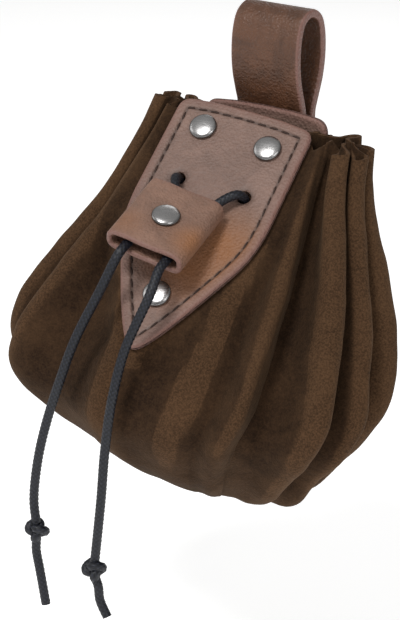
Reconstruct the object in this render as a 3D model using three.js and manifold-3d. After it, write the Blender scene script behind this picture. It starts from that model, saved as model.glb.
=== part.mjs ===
// Medieval belt pouch: a gathered suede bag between two shield-shaped leather plates, hung from a
// leather belt loop and drawn shut by a waxed cord that runs through a riveted leather slider.
// Millimetres, +Z up, +X to the viewer's right, the front faces -Y.
// The origin is the inside top of the belt loop, where the belt carries the pouch.

import * as THREE from "three";
import { mergeVertices } from "three/addons/utils/BufferGeometryUtils.js";
import Module from "manifold-3d";

const wasm = await Module();
wasm.setup();

// Sizes

const gap = 0.3; // clearance between pieces that touch

const bagWidth = 150; // belly, side to side
const bagDepth = 100; // belly, front to back
const bagHeight = 125; // rim to the lowest point
const rimDrop = 36.5; // rim below the inside top of the belt loop
const suedeThickness = 1.5;
const clothRound = 418; // length of the suede measured round the belly along its folds

const plateWidth = 51.4; // along the top edge
const plateHeight = 96.6; // top corners to tip
const plateCrown = 1.2; // rise of the top edge between its corners
const plateThickness = 3.0;
const plateCorner = 4.0; // rounding of the two top corners
const plateEdge = 0.9; // rounding of the plate's edges
const cordHoleSpread = 25.4; // between the two cord holes
const cordHoleDrop = 31.5; // below the plate's top edge

const frontPlateSet = 17.7; // plate's face in front of the loop's middle, at its top edge
const frontPlateDrop = 32.7; // top edge below the origin
const frontPlateTurn = 9.9; // degrees
const frontPlateRoll = 7.0;
const frontPlateSlope = 46.6; // leaned back from upright by the bag's belly

const backPlateSet = 8.0;
const backPlateDrop = 33.5;
const backPlateSlope = 9.0;
const backPlateThickness = 2.6;

const strapWidth = 28.2;
const strapThickness = 3.0;
const strapEdge = 0.9;
const loopDepth = 18.8; // outside, front to back, where the loop is widest
const loopNeckDepth = 9.2; // outside, where the strap goes down behind the back plate
const strapEndDrop = 66; // lower ends of the strap below the origin

const capRadius = 4.9; // rivet caps
const capHeight = 1.7;
const rivetPost = 1.3;
const rivetHole = 1.6;

const cordDiameter = 3.3;
const cordHole = 2.5; // radius of the holes that the cord runs through

const sliderWidth = 28.6;
const sliderLength = 30.5;
const sliderWall = 2.0;
const sliderRoom = 4.3; // clear height inside the slider

const knotWidth = 8.8;
const knotSocket = 2.0; // cord's end from the knot's middle

// Colours, as the photo shows them

const colours = {
  suede: [0x4a2f1e, 0.95, 0.0],
  plate: [0x8c6e62, 0.55, 0.0],
  strap: [0x6a4630, 0.5, 0.0],
  slider: [0x96705a, 0.5, 0.0],
  steel: [0xb8b6b4, 0.25, 1.0],
  cord: [0x15171c, 0.55, 0.0],
};

const rad = (degrees) => (degrees * Math.PI) / 180;
const mix = (a, b, t) => a + (b - a) * t;
const clamp = (x, lo, hi) => Math.min(hi, Math.max(lo, x));
const ease = (t) => {
  const c = clamp(t, 0, 1);
  return c * c * (3 - 2 * c);
};

// Sections of the bag, rim first
// down: share of bagHeight below the rim      side: middle, share of half the bagWidth
// back: middle, share of bagDepth behind the loop's middle (forward is negative)
// width, depth: shares of bagWidth and bagDepth  round: exponent of the oval (2 is an ellipse)
// turn, lean: degrees about Z and Y            open: 0 gathered as at the rim, 1 spread as at the belly
// fold: share of the folds' full depth

const sections = [
  { down: 0.0, side: 0.03, back: -0.118, width: 0.53, depth: 0.085, round: 2.3, turn: 5, lean: 3.0, open: 0.0, fold: 1.0 },
  { down: 0.08, side: 0.03, back: -0.162, width: 0.53, depth: 0.12, round: 2.3, turn: 7, lean: 4.5, open: 0.05, fold: 1.0 },
  { down: 0.18, side: 0.035, back: -0.218, width: 0.55, depth: 0.175, round: 2.3, turn: 9, lean: 6.0, open: 0.18, fold: 0.98 },
  { down: 0.3, side: 0.045, back: -0.28, width: 0.61, depth: 0.25, round: 2.3, turn: 10, lean: 6.5, open: 0.42, fold: 0.95 },
  { down: 0.45, side: 0.045, back: -0.36, width: 0.735, depth: 0.355, round: 2.3, turn: 10, lean: 7.0, open: 0.7, fold: 0.9 },
  { down: 0.6, side: 0.03, back: -0.425, width: 0.855, depth: 0.445, round: 2.25, turn: 10, lean: 7.0, open: 0.88, fold: 0.8 },
  { down: 0.71, side: -0.015, back: -0.43, width: 0.86, depth: 0.485, round: 2.2, turn: 10, lean: 7.0, open: 1.0, fold: 0.68 },
  { down: 0.81, side: -0.035, back: -0.415, width: 0.735, depth: 0.445, round: 2.15, turn: 10, lean: 8.0, open: 1.0, fold: 0.58 },
  { down: 0.9, side: -0.02, back: -0.4, width: 0.57, depth: 0.355, round: 2.1, turn: 10, lean: 9.5, open: 1.0, fold: 0.42 },
  { down: 0.965, side: 0.0, back: -0.39, width: 0.36, depth: 0.225, round: 2.05, turn: 10, lean: 10.5, open: 1.0, fold: 0.18 },
  { down: 1.0, side: 0.0, back: -0.385, width: 0.0, depth: 0.0, round: 2.0, turn: 10, lean: 10.5, open: 1.0, fold: 0.0 },
];

// Folds of the suede, from the middle of the front round by the viewer's right, the back and the left
// belly: degrees of the turn round the belly        neck: share of the neck's round
// full: share of the depth that the gather gives     peak: place of the ridge between its valleys
// valley, ends: depth kept at the belly by the valley after the fold, share of bagDepth, and how far
// down it reaches, share of bagHeight                rise: rim above the mean, share of bagHeight
// side: the plate that the fold may rest on

const folds = [
  { belly: 22, neck: 0.1167, full: 0.2, peak: 0.5, valley: 0.035, ends: 0.8, rise: 0.0, side: "front" },
  { belly: 14, neck: 0.06, full: 0.8, peak: 0.6, valley: 0.075, ends: 0.72, rise: -0.005, side: "front" },
  { belly: 28, neck: 0.042, full: 1.15, peak: 0.72, valley: 0.075, ends: 1.2, rise: -0.03, side: "front" },
  { belly: 16, neck: 0.036, full: 1.2, peak: 0.6, valley: 0.06, ends: 0.9, rise: -0.035, side: "front" },
  { belly: 26, neck: 0.04, full: 1.15, peak: 0.5, valley: 0.05, ends: 0.85, rise: -0.02, side: "back" },
  { belly: 21, neck: 0.045, full: 1.0, peak: 0.42, valley: 0.05, ends: 0.9, rise: 0.0, side: "back" },
  { belly: 23, neck: 0.052, full: 0.9, peak: 0.4, valley: 0.02, ends: 0.8, rise: 0.01, side: "back" },
  { belly: 29, neck: 0.1167, full: 0.2, peak: 0.5, valley: 0.01, ends: 0.8, rise: 0.0, side: "back" },
  { belly: 29, neck: 0.1167, full: 0.2, peak: 0.5, valley: 0.02, ends: 0.8, rise: 0.0, side: "back" },
  { belly: 22, neck: 0.05, full: 0.9, peak: 0.6, valley: 0.045, ends: 0.85, rise: 0.0, side: "back" },
  { belly: 20, neck: 0.044, full: 1.0, peak: 0.58, valley: 0.05, ends: 0.9, rise: 0.01, side: "back" },
  { belly: 21, neck: 0.04, full: 1.0, peak: 0.5, valley: 0.055, ends: 0.9, rise: 0.015, side: "front" },
  { belly: 22, neck: 0.042, full: 1.0, peak: 0.42, valley: 0.04, ends: 0.9, rise: 0.02, side: "front" },
  { belly: 45, neck: 0.0922, full: 0.5, peak: 0.25, valley: 0.04, ends: 0.75, rise: 0.015, side: "front" },
  { belly: 22, neck: 0.1167, full: 0.2, peak: 0.5, valley: 0.0, ends: 0.8, rise: 0.0, side: "front" },
];

const columnsPerFold = 8;
const columnsWide = 12; // for a fold wider than this many degrees
const wideFold = 35;
const columnsFlat = 4; // for what lies flat under a plate
const levels = [0, 0.05, 0.1, 0.16, 0.23, 0.31, 0.4, 0.5, 0.6, 0.69, 0.77, 0.84, 0.905, 0.955, 0.987];

// Outline of the shield-shaped plates, from the tip up
// up: share of plateHeight above the tip    half: share of half the plateWidth

const plateOutline = [
  { up: 0.0, half: 0.0 },
  { up: 0.006, half: 0.06 },
  { up: 0.025, half: 0.135 },
  { up: 0.079, half: 0.27 },
  { up: 0.1615, half: 0.446 },
  { up: 0.244, half: 0.602 },
  { up: 0.327, half: 0.753 },
  { up: 0.389, half: 0.862 },
  { up: 0.446, half: 0.94 },
  { up: 0.503, half: 0.985 },
  { up: 0.575, half: 1.008 },
  { up: 0.75, half: 1.004 },
];

// Small maths: Bessel functions of a fold drawn as a sine-generated curve

function bessel(order, x) {
  let term = 1;
  for (let k = 1; k <= order; k += 1) {
    term *= x / (2 * k);
  }
  let sum = term;
  for (let k = 1; k < 14; k += 1) {
    term *= (-x * x) / (4 * k * (k + order));
    sum += term;
  }
  return sum;
}

// Steepness of the fold whose spread width is this share of its cloth
function steepness(share) {
  let lo = 0;
  let hi = 2.1;
  for (let k = 0; k < 30; k += 1) {
    const mid = (lo + hi) / 2;
    if (bessel(0, mid) > share) {
      lo = mid;
    } else {
      hi = mid;
    }
  }
  return (lo + hi) / 2;
}

// Smooth reading of a table between its rows
function readTable(rows, key, column, at) {
  let i = 0;
  while (i < rows.length - 2 && rows[i + 1][key] < at) {
    i += 1;
  }
  const a = rows[Math.max(i - 1, 0)];
  const b = rows[i];
  const c = rows[i + 1];
  const d = rows[Math.min(i + 2, rows.length - 1)];
  const span = c[key] - b[key];
  const t = clamp((at - b[key]) / span, 0, 1);
  const slopeB = i === 0 ? (c[column] - b[column]) / span : (c[column] - a[column]) / (c[key] - a[key]);
  const slopeC = i + 2 > rows.length - 1 ? (c[column] - b[column]) / span : (d[column] - b[column]) / (d[key] - b[key]);
  const t2 = t * t;
  const t3 = t2 * t;
  return (2 * t3 - 3 * t2 + 1) * b[column] + (t3 - 2 * t2 + t) * span * slopeB
    + (3 * t2 - 2 * t3) * c[column] + (t3 - t2) * span * slopeC;
}

// Frames of the two plates: origin in the middle of the top edge, on the outer face

function plateFrame(set, drop, turn, roll, slope, facing) {
  const place = new THREE.Matrix4().makeRotationZ(rad(turn));
  place.multiply(new THREE.Matrix4().makeRotationY(rad(roll)));
  place.multiply(new THREE.Matrix4().makeRotationX(rad(-slope) * facing));
  place.setPosition(0, -set * facing, -drop);
  return place;
}
const frontFrame = plateFrame(frontPlateSet, frontPlateDrop, frontPlateTurn, frontPlateRoll, frontPlateSlope, 1);
const backFrame = new THREE.Matrix4().makeRotationX(rad(backPlateSlope));
backFrame.setPosition(0, -backPlateSet, -backPlateDrop);

// Half width of a plate at a height measured down from its top edge
function plateHalf(down) {
  const up = 1 - down / plateHeight;
  if (up <= 0 || down < 0) {
    return 0;
  }
  const rows = plateOutline;
  for (let i = 0; i < rows.length - 1; i += 1) {
    if (up <= rows[i + 1].up) {
      const t = (up - rows[i].up) / (rows[i + 1].up - rows[i].up);
      return (mix(rows[i].half, rows[i + 1].half, t) * plateWidth) / 2;
    }
  }
  const last = rows[rows.length - 1];
  return (mix(last.half, 1, (up - last.up) / (1 - last.up)) * plateWidth) / 2;
}

// The suede lies flat against a plate: a point near the plate's outline is drawn to its plane
function restOnPlate(point, frame, inverse, offset, reach) {
  const local = point.clone().applyMatrix4(inverse);
  const down = -local.z;
  const half = plateHalf(clamp(down, 0, plateHeight));
  const outside = Math.max(Math.abs(local.x) - half, down - plateHeight, -down * 0.35);
  const near = 1 - ease((Math.abs(local.y - offset) - reach) / reach);
  const pull = (1 - ease(outside / reach)) * near;
  local.y = mix(local.y, offset, pull);
  return local.applyMatrix4(frame);
}
const frontInverse = frontFrame.clone().invert();
const backInverse = backFrame.clone().invert();

// One point of the suede's middle surface: around is the cloth's share of a turn, down its share of height

const bellyTurn = folds.reduce((sum, fold) => sum + fold.belly, 0);
const neckRound = folds.reduce((sum, fold) => sum + fold.neck, 0);

function ovalTable(a, b, round) {
  const steps = 360;
  const points = [];
  let length = 0;
  for (let i = 0; i <= steps; i += 1) {
    const angle = (i / steps) * 2 * Math.PI;
    const s = Math.sin(angle);
    const c = Math.cos(angle);
    const x = a * Math.sign(s) * Math.abs(s) ** (2 / round);
    const y = -b * Math.sign(c) * Math.abs(c) ** (2 / round);
    if (i > 0) {
      length += Math.hypot(x - points[i - 1].x, y - points[i - 1].y);
    }
    points.push({ x, y, length });
  }
  return { points, length };
}

function ovalPoint(table, share) {
  const wanted = (share - Math.floor(share)) * table.length;
  let lo = 0;
  let hi = table.points.length - 1;
  while (hi - lo > 1) {
    const mid = (lo + hi) >> 1;
    if (table.points[mid].length <= wanted) {
      lo = mid;
    } else {
      hi = mid;
    }
  }
  const p = table.points[lo];
  const q = table.points[hi];
  const t = (wanted - p.length) / Math.max(q.length - p.length, 1e-9);
  return { x: mix(p.x, q.x, t), y: mix(p.y, q.y, t) };
}

function levelOf(down) {
  const read = (column) => readTable(sections, "down", column, down);
  const a = Math.max((read("width") * bagWidth) / 2, 0.01);
  const b = Math.max((read("depth") * bagDepth), 0.01);
  const table = ovalTable(a, b, read("round"));
  const open = clamp(read("open"), 0, 1);
  const fold = Math.max(read("fold"), 0);
  const starts = [];
  let baseStart = 0;
  for (const row of folds) {
    const share = mix(row.neck / neckRound, row.belly / bellyTurn, open);
    starts.push({ from: baseStart, share, row });
    baseStart += share;
  }
  const place = new THREE.Matrix4().makeRotationZ(rad(read("turn")));
  place.multiply(new THREE.Matrix4().makeRotationY(rad(read("lean"))));
  place.setPosition((read("side") * bagWidth) / 2, read("back") * bagDepth, -rimDrop - down * bagHeight);
  return { table, open, fold, starts, place, down };
}

function suedePoint(level, foldIndex, q) {
  const { from, share, row } = level.starts[foldIndex];
  const cloth = (row.belly / bellyTurn) * clothRound;
  const width = share * level.table.length;
  const packed = clamp(width / cloth, 0.3, 0.99);
  const w = steepness(packed);
  const steep = Math.log(Math.max(row.peak, 1 - row.peak)) / Math.log(0.5);
  const p = row.peak >= 0.5 ? q ** steep : 1 - (1 - q) ** steep;
  const phase = 2 * Math.PI * q;
  const before = folds[(foldIndex + folds.length - 1) % folds.length];
  const kept = (fold) => fold.valley * (1 - ease((level.down - fold.ends + 0.14) / 0.28));
  const swell = Math.sin(Math.PI * clamp(level.down * 0.9, 0, 1)) ** 1.5;
  const belly = mix(kept(before), kept(row), p) * bagDepth * swell;
  const puff = 1 - 2 * Math.hypot(Math.sin(phase / 2), 0.2);
  const gathered = (Math.min(cloth, width * 2.6) / Math.PI) * bessel(1, w) * row.full;
  const out = -level.fold * (gathered * Math.cos(phase) + 1.2 * belly * puff);
  const slide = (cloth / (2 * Math.PI)) * bessel(2, w) * Math.sin(2 * phase) * row.full * level.fold * 0.8;
  const at = from + share * p + slide / level.table.length;
  const e = 0.002;
  const here = ovalPoint(level.table, at);
  const lower = ovalPoint(level.table, at - e);
  const upper = ovalPoint(level.table, at + e);
  const tx = upper.x - lower.x;
  const ty = upper.y - lower.y;
  const tl = Math.hypot(tx, ty) || 1;
  const rim = (1 - ease(level.down / 0.2)) * row.rise * bagHeight * Math.sin(Math.PI * p);
  let point = new THREE.Vector3(here.x + (ty / tl) * out, here.y - (tx / tl) * out, rim);
  point.applyMatrix4(level.place);
  if (row.side === "front") {
    return restOnPlate(point, frontFrame, frontInverse, plateThickness + gap + suedeThickness / 2, 9);
  }
  return restOnPlate(point, backFrame, backInverse, -1.6 * gap - suedeThickness / 2, 9);
}

function buildSuede() {
  const columns = [];
  folds.forEach((row, index) => {
    const flat = row.full < 0.3;
    const count = flat ? columnsFlat : row.belly > wideFold ? columnsWide : columnsPerFold;
    for (let k = 0; k < count; k += 1) {
      columns.push([index, k / count]);
    }
  });
  const n = columns.length;
  const grid = levels.map((down) => {
    const level = levelOf(down);
    return columns.map(([index, p]) => suedePoint(level, index, p));
  });
  const bottomLevel = levelOf(1);
  const pole = new THREE.Vector3().applyMatrix4(bottomLevel.place);
  const rows = grid.length;
  const normals = grid.map((row, j) => row.map((point, i) => {
    const left = row[(i + n - 1) % n];
    const right = row[(i + 1) % n];
    const up = grid[Math.max(j - 1, 0)][i];
    const low = j + 1 < rows ? grid[j + 1][i] : pole;
    const along = right.clone().sub(left);
    const downward = low.clone().sub(up);
    return downward.cross(along).normalize();
  }));
  const half = suedeThickness / 2;
  const positions = [];
  const push = (v) => positions.push(v.x, v.y, v.z);
  for (const side of [half, -half]) {
    for (let j = 0; j < rows; j += 1) {
      for (let i = 0; i < n; i += 1) {
        push(grid[j][i].clone().addScaledVector(normals[j][i], side));
      }
    }
    push(pole.clone().add(new THREE.Vector3(0, 0, -side)));
  }
  const block = rows * n + 1;
  const index = [];
  const id = (skin, j, i) => skin * block + j * n + (i % n);
  for (let j = 0; j < rows - 1; j += 1) {
    for (let i = 0; i < n; i += 1) {
      index.push(id(0, j, i), id(0, j + 1, i), id(0, j + 1, i + 1));
      index.push(id(0, j, i), id(0, j + 1, i + 1), id(0, j, i + 1));
      index.push(id(1, j, i), id(1, j + 1, i + 1), id(1, j + 1, i));
      index.push(id(1, j, i), id(1, j, i + 1), id(1, j + 1, i + 1));
    }
  }
  for (let i = 0; i < n; i += 1) {
    index.push(id(0, rows - 1, i), rows * n, id(0, rows - 1, i + 1));
    index.push(id(1, rows - 1, i + 1), block + rows * n, id(1, rows - 1, i));
    index.push(id(0, 0, i), id(0, 0, i + 1), id(1, 0, i));
    index.push(id(0, 0, i + 1), id(1, 0, i + 1), id(1, 0, i));
  }
  const geometry = new THREE.BufferGeometry();
  geometry.setAttribute("position", new THREE.Float32BufferAttribute(positions, 3));
  geometry.setIndex(index);
  return geometry;
}

// Joining and cutting of solids

function toSolid(geometry) {
  const bare = geometry.clone();
  bare.deleteAttribute("normal");
  bare.deleteAttribute("uv");
  const merged = mergeVertices(bare, 1e-4);
  const mesh = new wasm.Mesh({
    numProp: 3,
    vertProperties: new Float32Array(merged.attributes.position.array),
    triVerts: new Uint32Array(merged.index.array),
  });
  mesh.merge();
  return new wasm.Manifold(mesh);
}

function fromSolid(solid) {
  const mesh = solid.getMesh();
  const geometry = new THREE.BufferGeometry();
  geometry.setAttribute("position", new THREE.Float32BufferAttribute(mesh.vertProperties, 3));
  geometry.setIndex(Array.from(mesh.triVerts));
  return geometry;
}

// A round hole through a plate's frame at (x, down), from the outside in
function holeCutter(frame, x, down, radius, from, to, sides) {
  const geometry = new THREE.CylinderGeometry(radius, radius, to - from, sides);
  geometry.translate(0, (from + to) / 2, 0);
  geometry.applyMatrix4(new THREE.Matrix4().makeTranslation(x, 0, -down));
  geometry.applyMatrix4(frame);
  return toSolid(geometry);
}

// Shield-shaped plate in its own frame: outer face at y = 0, thickness towards +Y

function plateGeometry(thickness) {
  const right = [];
  for (const row of plateOutline.slice(1)) {
    right.push([(row.half * plateWidth) / 2, (row.up - 1) * plateHeight]);
  }
  const half = plateWidth / 2;
  for (const step of [0, 1, 2, 3]) {
    const angle = (step / 3) * (Math.PI / 2);
    right.push([
      half - plateCorner + plateCorner * Math.cos(angle),
      -plateCorner + plateCorner * Math.sin(angle),
    ]);
  }
  right.push([half * 0.5, plateCrown * 0.75]);
  const left = right.slice().reverse().map(([x, y]) => [-x, y]);
  const points = [[0, -plateHeight], ...right, [0, plateCrown], ...left];
  const shape = new THREE.Shape(points.map(([x, y]) => new THREE.Vector2(x, y)));
  const geometry = new THREE.ExtrudeGeometry(shape, {
    depth: thickness - 2 * plateEdge,
    bevelEnabled: true,
    bevelThickness: plateEdge,
    bevelSize: plateEdge,
    bevelOffset: -plateEdge,
    bevelSegments: 1,
  });
  geometry.translate(0, 0, plateEdge);
  geometry.rotateX(Math.PI / 2);
  geometry.translate(0, thickness, 0);
  return geometry;
}

// Domed rivet cap with its post, outer side towards -Y of the frame, seated just above y = 0

function rivetGeometry(frame, x, down, lift, postLength) {
  const profile = [
    [0, capHeight],
    [capRadius * 0.45, capHeight * 0.92],
    [capRadius * 0.8, capHeight * 0.66],
    [capRadius, capHeight * 0.28],
    [capRadius, 0],
    [rivetPost, 0],
    [rivetPost, -postLength],
    [0, -postLength],
  ];
  const points = profile.map(([radius, height]) => new THREE.Vector2(radius, height)).reverse();
  const geometry = new THREE.LatheGeometry(points, 16);
  geometry.rotateX(Math.PI);
  geometry.translate(x, -gap - lift, -down);
  geometry.applyMatrix4(frame);
  return fromSolid(toSolid(geometry));
}

// Rivets of the front plate: x from its middle, down from its top edge, shares of the plate's sizes
const frontRivets = {
  rivet_top_left: { x: -0.25, down: 0.105 },
  rivet_top_right: { x: 0.25, down: 0.12 },
  rivet_lower: { x: 0.0, down: 0.78 },
};
const backRivets = {
  rivet_back_left: { x: -0.17, down: 0.22 },
  rivet_back_right: { x: 0.17, down: 0.22 },
};

// Belt loop: a strap seen from its side, front strip up, over the top and down again
// drop: share of strapEndDrop below the origin      bow: 0 as narrow as at the neck, 1 as wide as the loop

const loopPath = [
  { drop: 1.0, bow: 0.0 },
  { drop: 0.76, bow: 0.0 },
  { drop: 0.55, bow: 0.0 },
  { drop: 0.5, bow: 0.03 },
  { drop: 0.43, bow: 0.36 },
  { drop: 0.33, bow: 0.8 },
  { drop: 0.2, bow: 1.0 },
  { drop: 0.085, bow: 0.84 },
  { drop: 0.012, bow: 0.38 },
];

function loopGeometry() {
  const wide = (loopDepth - strapThickness) / 2;
  const neck = (loopNeckDepth - strapThickness) / 2;
  const neckDrop = 0.55 * strapEndDrop;
  const middle = (drop) => Math.max(drop - neckDrop, 0) * Math.tan(rad(backPlateSlope));
  const squeeze = (drop) => ease((drop - neckDrop) / 12) * (neck - strapThickness / 2 - gap);
  const side = loopPath.map((row) => {
    const drop = row.drop * strapEndDrop;
    return { drop, half: mix(neck, wide, row.bow), middle: middle(drop), squeeze: squeeze(drop) };
  });
  const points = [];
  for (const row of side) {
    points.push(new THREE.Vector2(row.middle - row.half, -row.drop));
  }
  points.push(new THREE.Vector2(0, strapThickness / 2));
  for (const row of side.slice().reverse()) {
    points.push(new THREE.Vector2(row.middle + row.half - 2 * row.squeeze, -row.drop));
  }
  const curve = new THREE.CatmullRomCurve3(points.map((q) => new THREE.Vector3(q.x, q.y, 0)), false, "centripetal");
  const steps = 30;
  const outer = [];
  const inner = [];
  for (let i = 0; i <= steps; i += 1) {
    const at = curve.getPointAt(i / steps);
    const along = curve.getTangentAt(i / steps);
    const reach = strapThickness / 2;
    outer.push(new THREE.Vector2(at.x - along.y * reach, at.y + along.x * reach));
    inner.push(new THREE.Vector2(at.x + along.y * reach, at.y - along.x * reach));
  }
  const shape = new THREE.Shape([...outer, ...inner.reverse()]);
  const geometry = new THREE.ExtrudeGeometry(shape, {
    depth: strapWidth - 2 * strapEdge,
    bevelEnabled: true,
    bevelThickness: strapEdge,
    bevelSize: strapEdge,
    bevelOffset: -strapEdge,
    bevelSegments: 1,
  });
  geometry.translate(0, 0, -strapWidth / 2 + strapEdge);
  geometry.applyMatrix4(new THREE.Matrix4().set(0, 0, 1, 0, 1, 0, 0, 0, 0, 1, 0, 0, 0, 0, 0, 1));
  return geometry;
}

// Slider: its frame's origin is the middle of the front face; x across, y inward, z up along the slider

const sliderShift = -3.4; // from the plate's mid-line
const sliderLift = 14.1; // face above the plate, at its middle
const sliderDrop = 53.4; // middle below the plate's top edge
const sliderTurn = 11.4;
const sliderRoll = 13.2;
const sliderSlope = 66.6;
const sliderFrame = plateFrame(0, 0, sliderTurn, sliderRoll, sliderSlope, 1);
sliderFrame.setPosition(
  new THREE.Vector3(sliderShift, -sliderLift, -sliderDrop).applyMatrix4(frontFrame),
);

function roundedRing(width, height, radius) {
  const shape = new THREE.Shape();
  const w = width / 2;
  const h = height / 2;
  const r = Math.min(radius, h - 0.01);
  shape.moveTo(-w + r, -h);
  shape.lineTo(w - r, -h);
  shape.absarc(w - r, -h + r, r, -Math.PI / 2, 0, false);
  shape.absarc(w - r, h - r, r, 0, Math.PI / 2, false);
  shape.lineTo(-w + r, h);
  shape.absarc(-w + r, h - r, r, Math.PI / 2, Math.PI, false);
  shape.absarc(-w + r, -h + r, r, Math.PI, 1.5 * Math.PI, false);
  return shape;
}

function sliderGeometry() {
  const height = sliderRoom + 2 * sliderWall;
  const shape = roundedRing(sliderWidth, height, 3.6);
  const room = roundedRing(sliderWidth - 2 * sliderWall, sliderRoom, 1.7);
  shape.holes.push(room);
  const geometry = new THREE.ExtrudeGeometry(shape, {
    depth: sliderLength,
    bevelEnabled: false,
    curveSegments: 4,
  });
  geometry.translate(0, 0, -sliderLength / 2);
  geometry.rotateX(Math.PI);
  geometry.translate(0, height / 2, 0);
  geometry.applyMatrix4(sliderFrame);
  const cutter = holeCutter(sliderFrame, 0, 0, rivetHole, -1, sliderWall + 0.5, 12);
  return fromSolid(toSolid(geometry).subtract(cutter));
}

// Cords

const inPlate = (x, y, down) => new THREE.Vector3(x, y, -down).applyMatrix4(frontFrame);
const inSlider = (x, y, up) => new THREE.Vector3(x, y, up).applyMatrix4(sliderFrame);
const cordRadius = cordDiameter / 2;
const behindSuede = plateThickness + gap + suedeThickness + 1.0;
const sliderMiddle = sliderWall + sliderRoom / 2;

// Hanging runs, from the slider to the knot
// side, ahead, below: shares of half the bagWidth, of bagDepth and of bagHeight from the origin

const hangLeft = [
  { side: -0.109, ahead: 0.89, below: 0.648 },
  { side: -0.187, ahead: 0.95, below: 0.786 },
  { side: -0.241, ahead: 0.98, below: 0.903 },
  { side: -0.308, ahead: 0.99, below: 1.029 },
  { side: -0.359, ahead: 0.995, below: 1.155 },
  { side: -0.385, ahead: 0.995, below: 1.282 },
  { side: -0.372, ahead: 0.995, below: 1.348 },
];
const tailLeft = [
  { side: -0.37, ahead: 0.995, below: 1.393 },
  { side: -0.373, ahead: 0.995, below: 1.433 },
  { side: -0.351, ahead: 0.995, below: 1.493 },
  { side: -0.315, ahead: 0.995, below: 1.592 },
];
const hangRight = [
  { side: 0.149, ahead: 0.87, below: 0.630 },
  { side: 0.092, ahead: 0.945, below: 0.775 },
  { side: 0.064, ahead: 0.985, below: 0.912 },
  { side: 0.036, ahead: 0.995, below: 1.058 },
  { side: 0.02, ahead: 1.0, below: 1.207 },
  { side: -0.005, ahead: 1.0, below: 1.346 },
  { side: -0.016, ahead: 1.0, below: 1.404 },
];
const tailRight = [
  { side: -0.015, ahead: 1.0, below: 1.445 },
  { side: 0.006, ahead: 1.0, below: 1.471 },
  { side: 0.017, ahead: 1.0, below: 1.512 },
  { side: 0.06, ahead: 1.0, below: 1.555 },
];
const knots = {
  knot_left: { side: -0.367, ahead: 0.995, below: 1.371, tilt: 14 },
  knot_right: { side: -0.018, ahead: 1.0, below: 1.424, tilt: -10 },
};

// Hidden run inside the neck, from the left hole round the back to the right hole
const innerRun = [
  { side: -0.213, ahead: 0.35, below: 0.48 },
  { side: -0.333, ahead: 0.27, below: 0.48 },
  { side: -0.347, ahead: 0.16, below: 0.472 },
  { side: -0.187, ahead: 0.115, below: 0.472 },
  { side: 0.0, ahead: 0.11, below: 0.472 },
  { side: 0.187, ahead: 0.11, below: 0.476 },
  { side: 0.32, ahead: 0.14, below: 0.48 },
  { side: 0.32, ahead: 0.24, below: 0.488 },
  { side: 0.227, ahead: 0.31, below: 0.496 },
];
const hanging = (row) => new THREE.Vector3(
  (row.side * bagWidth) / 2,
  -row.ahead * bagDepth,
  -row.below * bagHeight,
);

const leftPoints = [
  inPlate(-cordHoleSpread / 2, behindSuede, cordHoleDrop),
  inPlate(-cordHoleSpread / 2, 0.6, cordHoleDrop + 0.2),
  inPlate(-cordHoleSpread / 2 + 0.7, -3.0, cordHoleDrop + 1.9),
  inPlate(-10.4, -4.6, 36.2),
  inSlider(-5.2, sliderMiddle, 14.8),
  inSlider(-6.3, sliderMiddle, 0),
  inSlider(-6.7, sliderMiddle, -14),
  inSlider(-6.9, sliderMiddle + 0.3, -19),
  ...hangLeft.map(hanging),
];
const rightPoints = [
  inPlate(cordHoleSpread / 2, behindSuede, cordHoleDrop),
  inPlate(cordHoleSpread / 2, 0.6, cordHoleDrop + 0.2),
  inPlate(cordHoleSpread / 2 - 1.3, -2.8, cordHoleDrop + 1.5),
  inPlate(8.7, -3.8, 36.3),
  inSlider(9.2, sliderMiddle, 13.4),
  inSlider(8.4, sliderMiddle, 0),
  inSlider(8.3, sliderMiddle, -14),
  inSlider(8.3, sliderMiddle + 0.3, -19),
  ...hangRight.map(hanging),
];
const innerPoints = [
  inPlate(-cordHoleSpread / 2, behindSuede + 3 * gap, cordHoleDrop),
  inPlate(-cordHoleSpread / 2 - 0.6, behindSuede + 2.4, cordHoleDrop + 0.3),
  ...innerRun.map(hanging),
  inPlate(cordHoleSpread / 2 + 0.6, behindSuede + 2.4, cordHoleDrop + 0.3),
  inPlate(cordHoleSpread / 2, behindSuede + 3 * gap, cordHoleDrop),
];

function cordGeometry(points, spacing) {
  const curve = new THREE.CatmullRomCurve3(points, false, "centripetal");
  const steps = Math.max(3, Math.round(curve.getLength() / spacing));
  const ring = new THREE.Shape();
  for (let k = 0; k < 8; k += 1) {
    const angle = (k / 8) * 2 * Math.PI;
    const x = cordRadius * Math.cos(angle);
    const y = cordRadius * Math.sin(angle);
    if (k === 0) {
      ring.moveTo(x, y);
    } else {
      ring.lineTo(x, y);
    }
  }
  return new THREE.ExtrudeGeometry(ring, { steps, bevelEnabled: false, extrudePath: curve });
}

// Overhand knot: the cord's three crossing turns joined into one body, with sockets for the cord's ends

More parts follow.
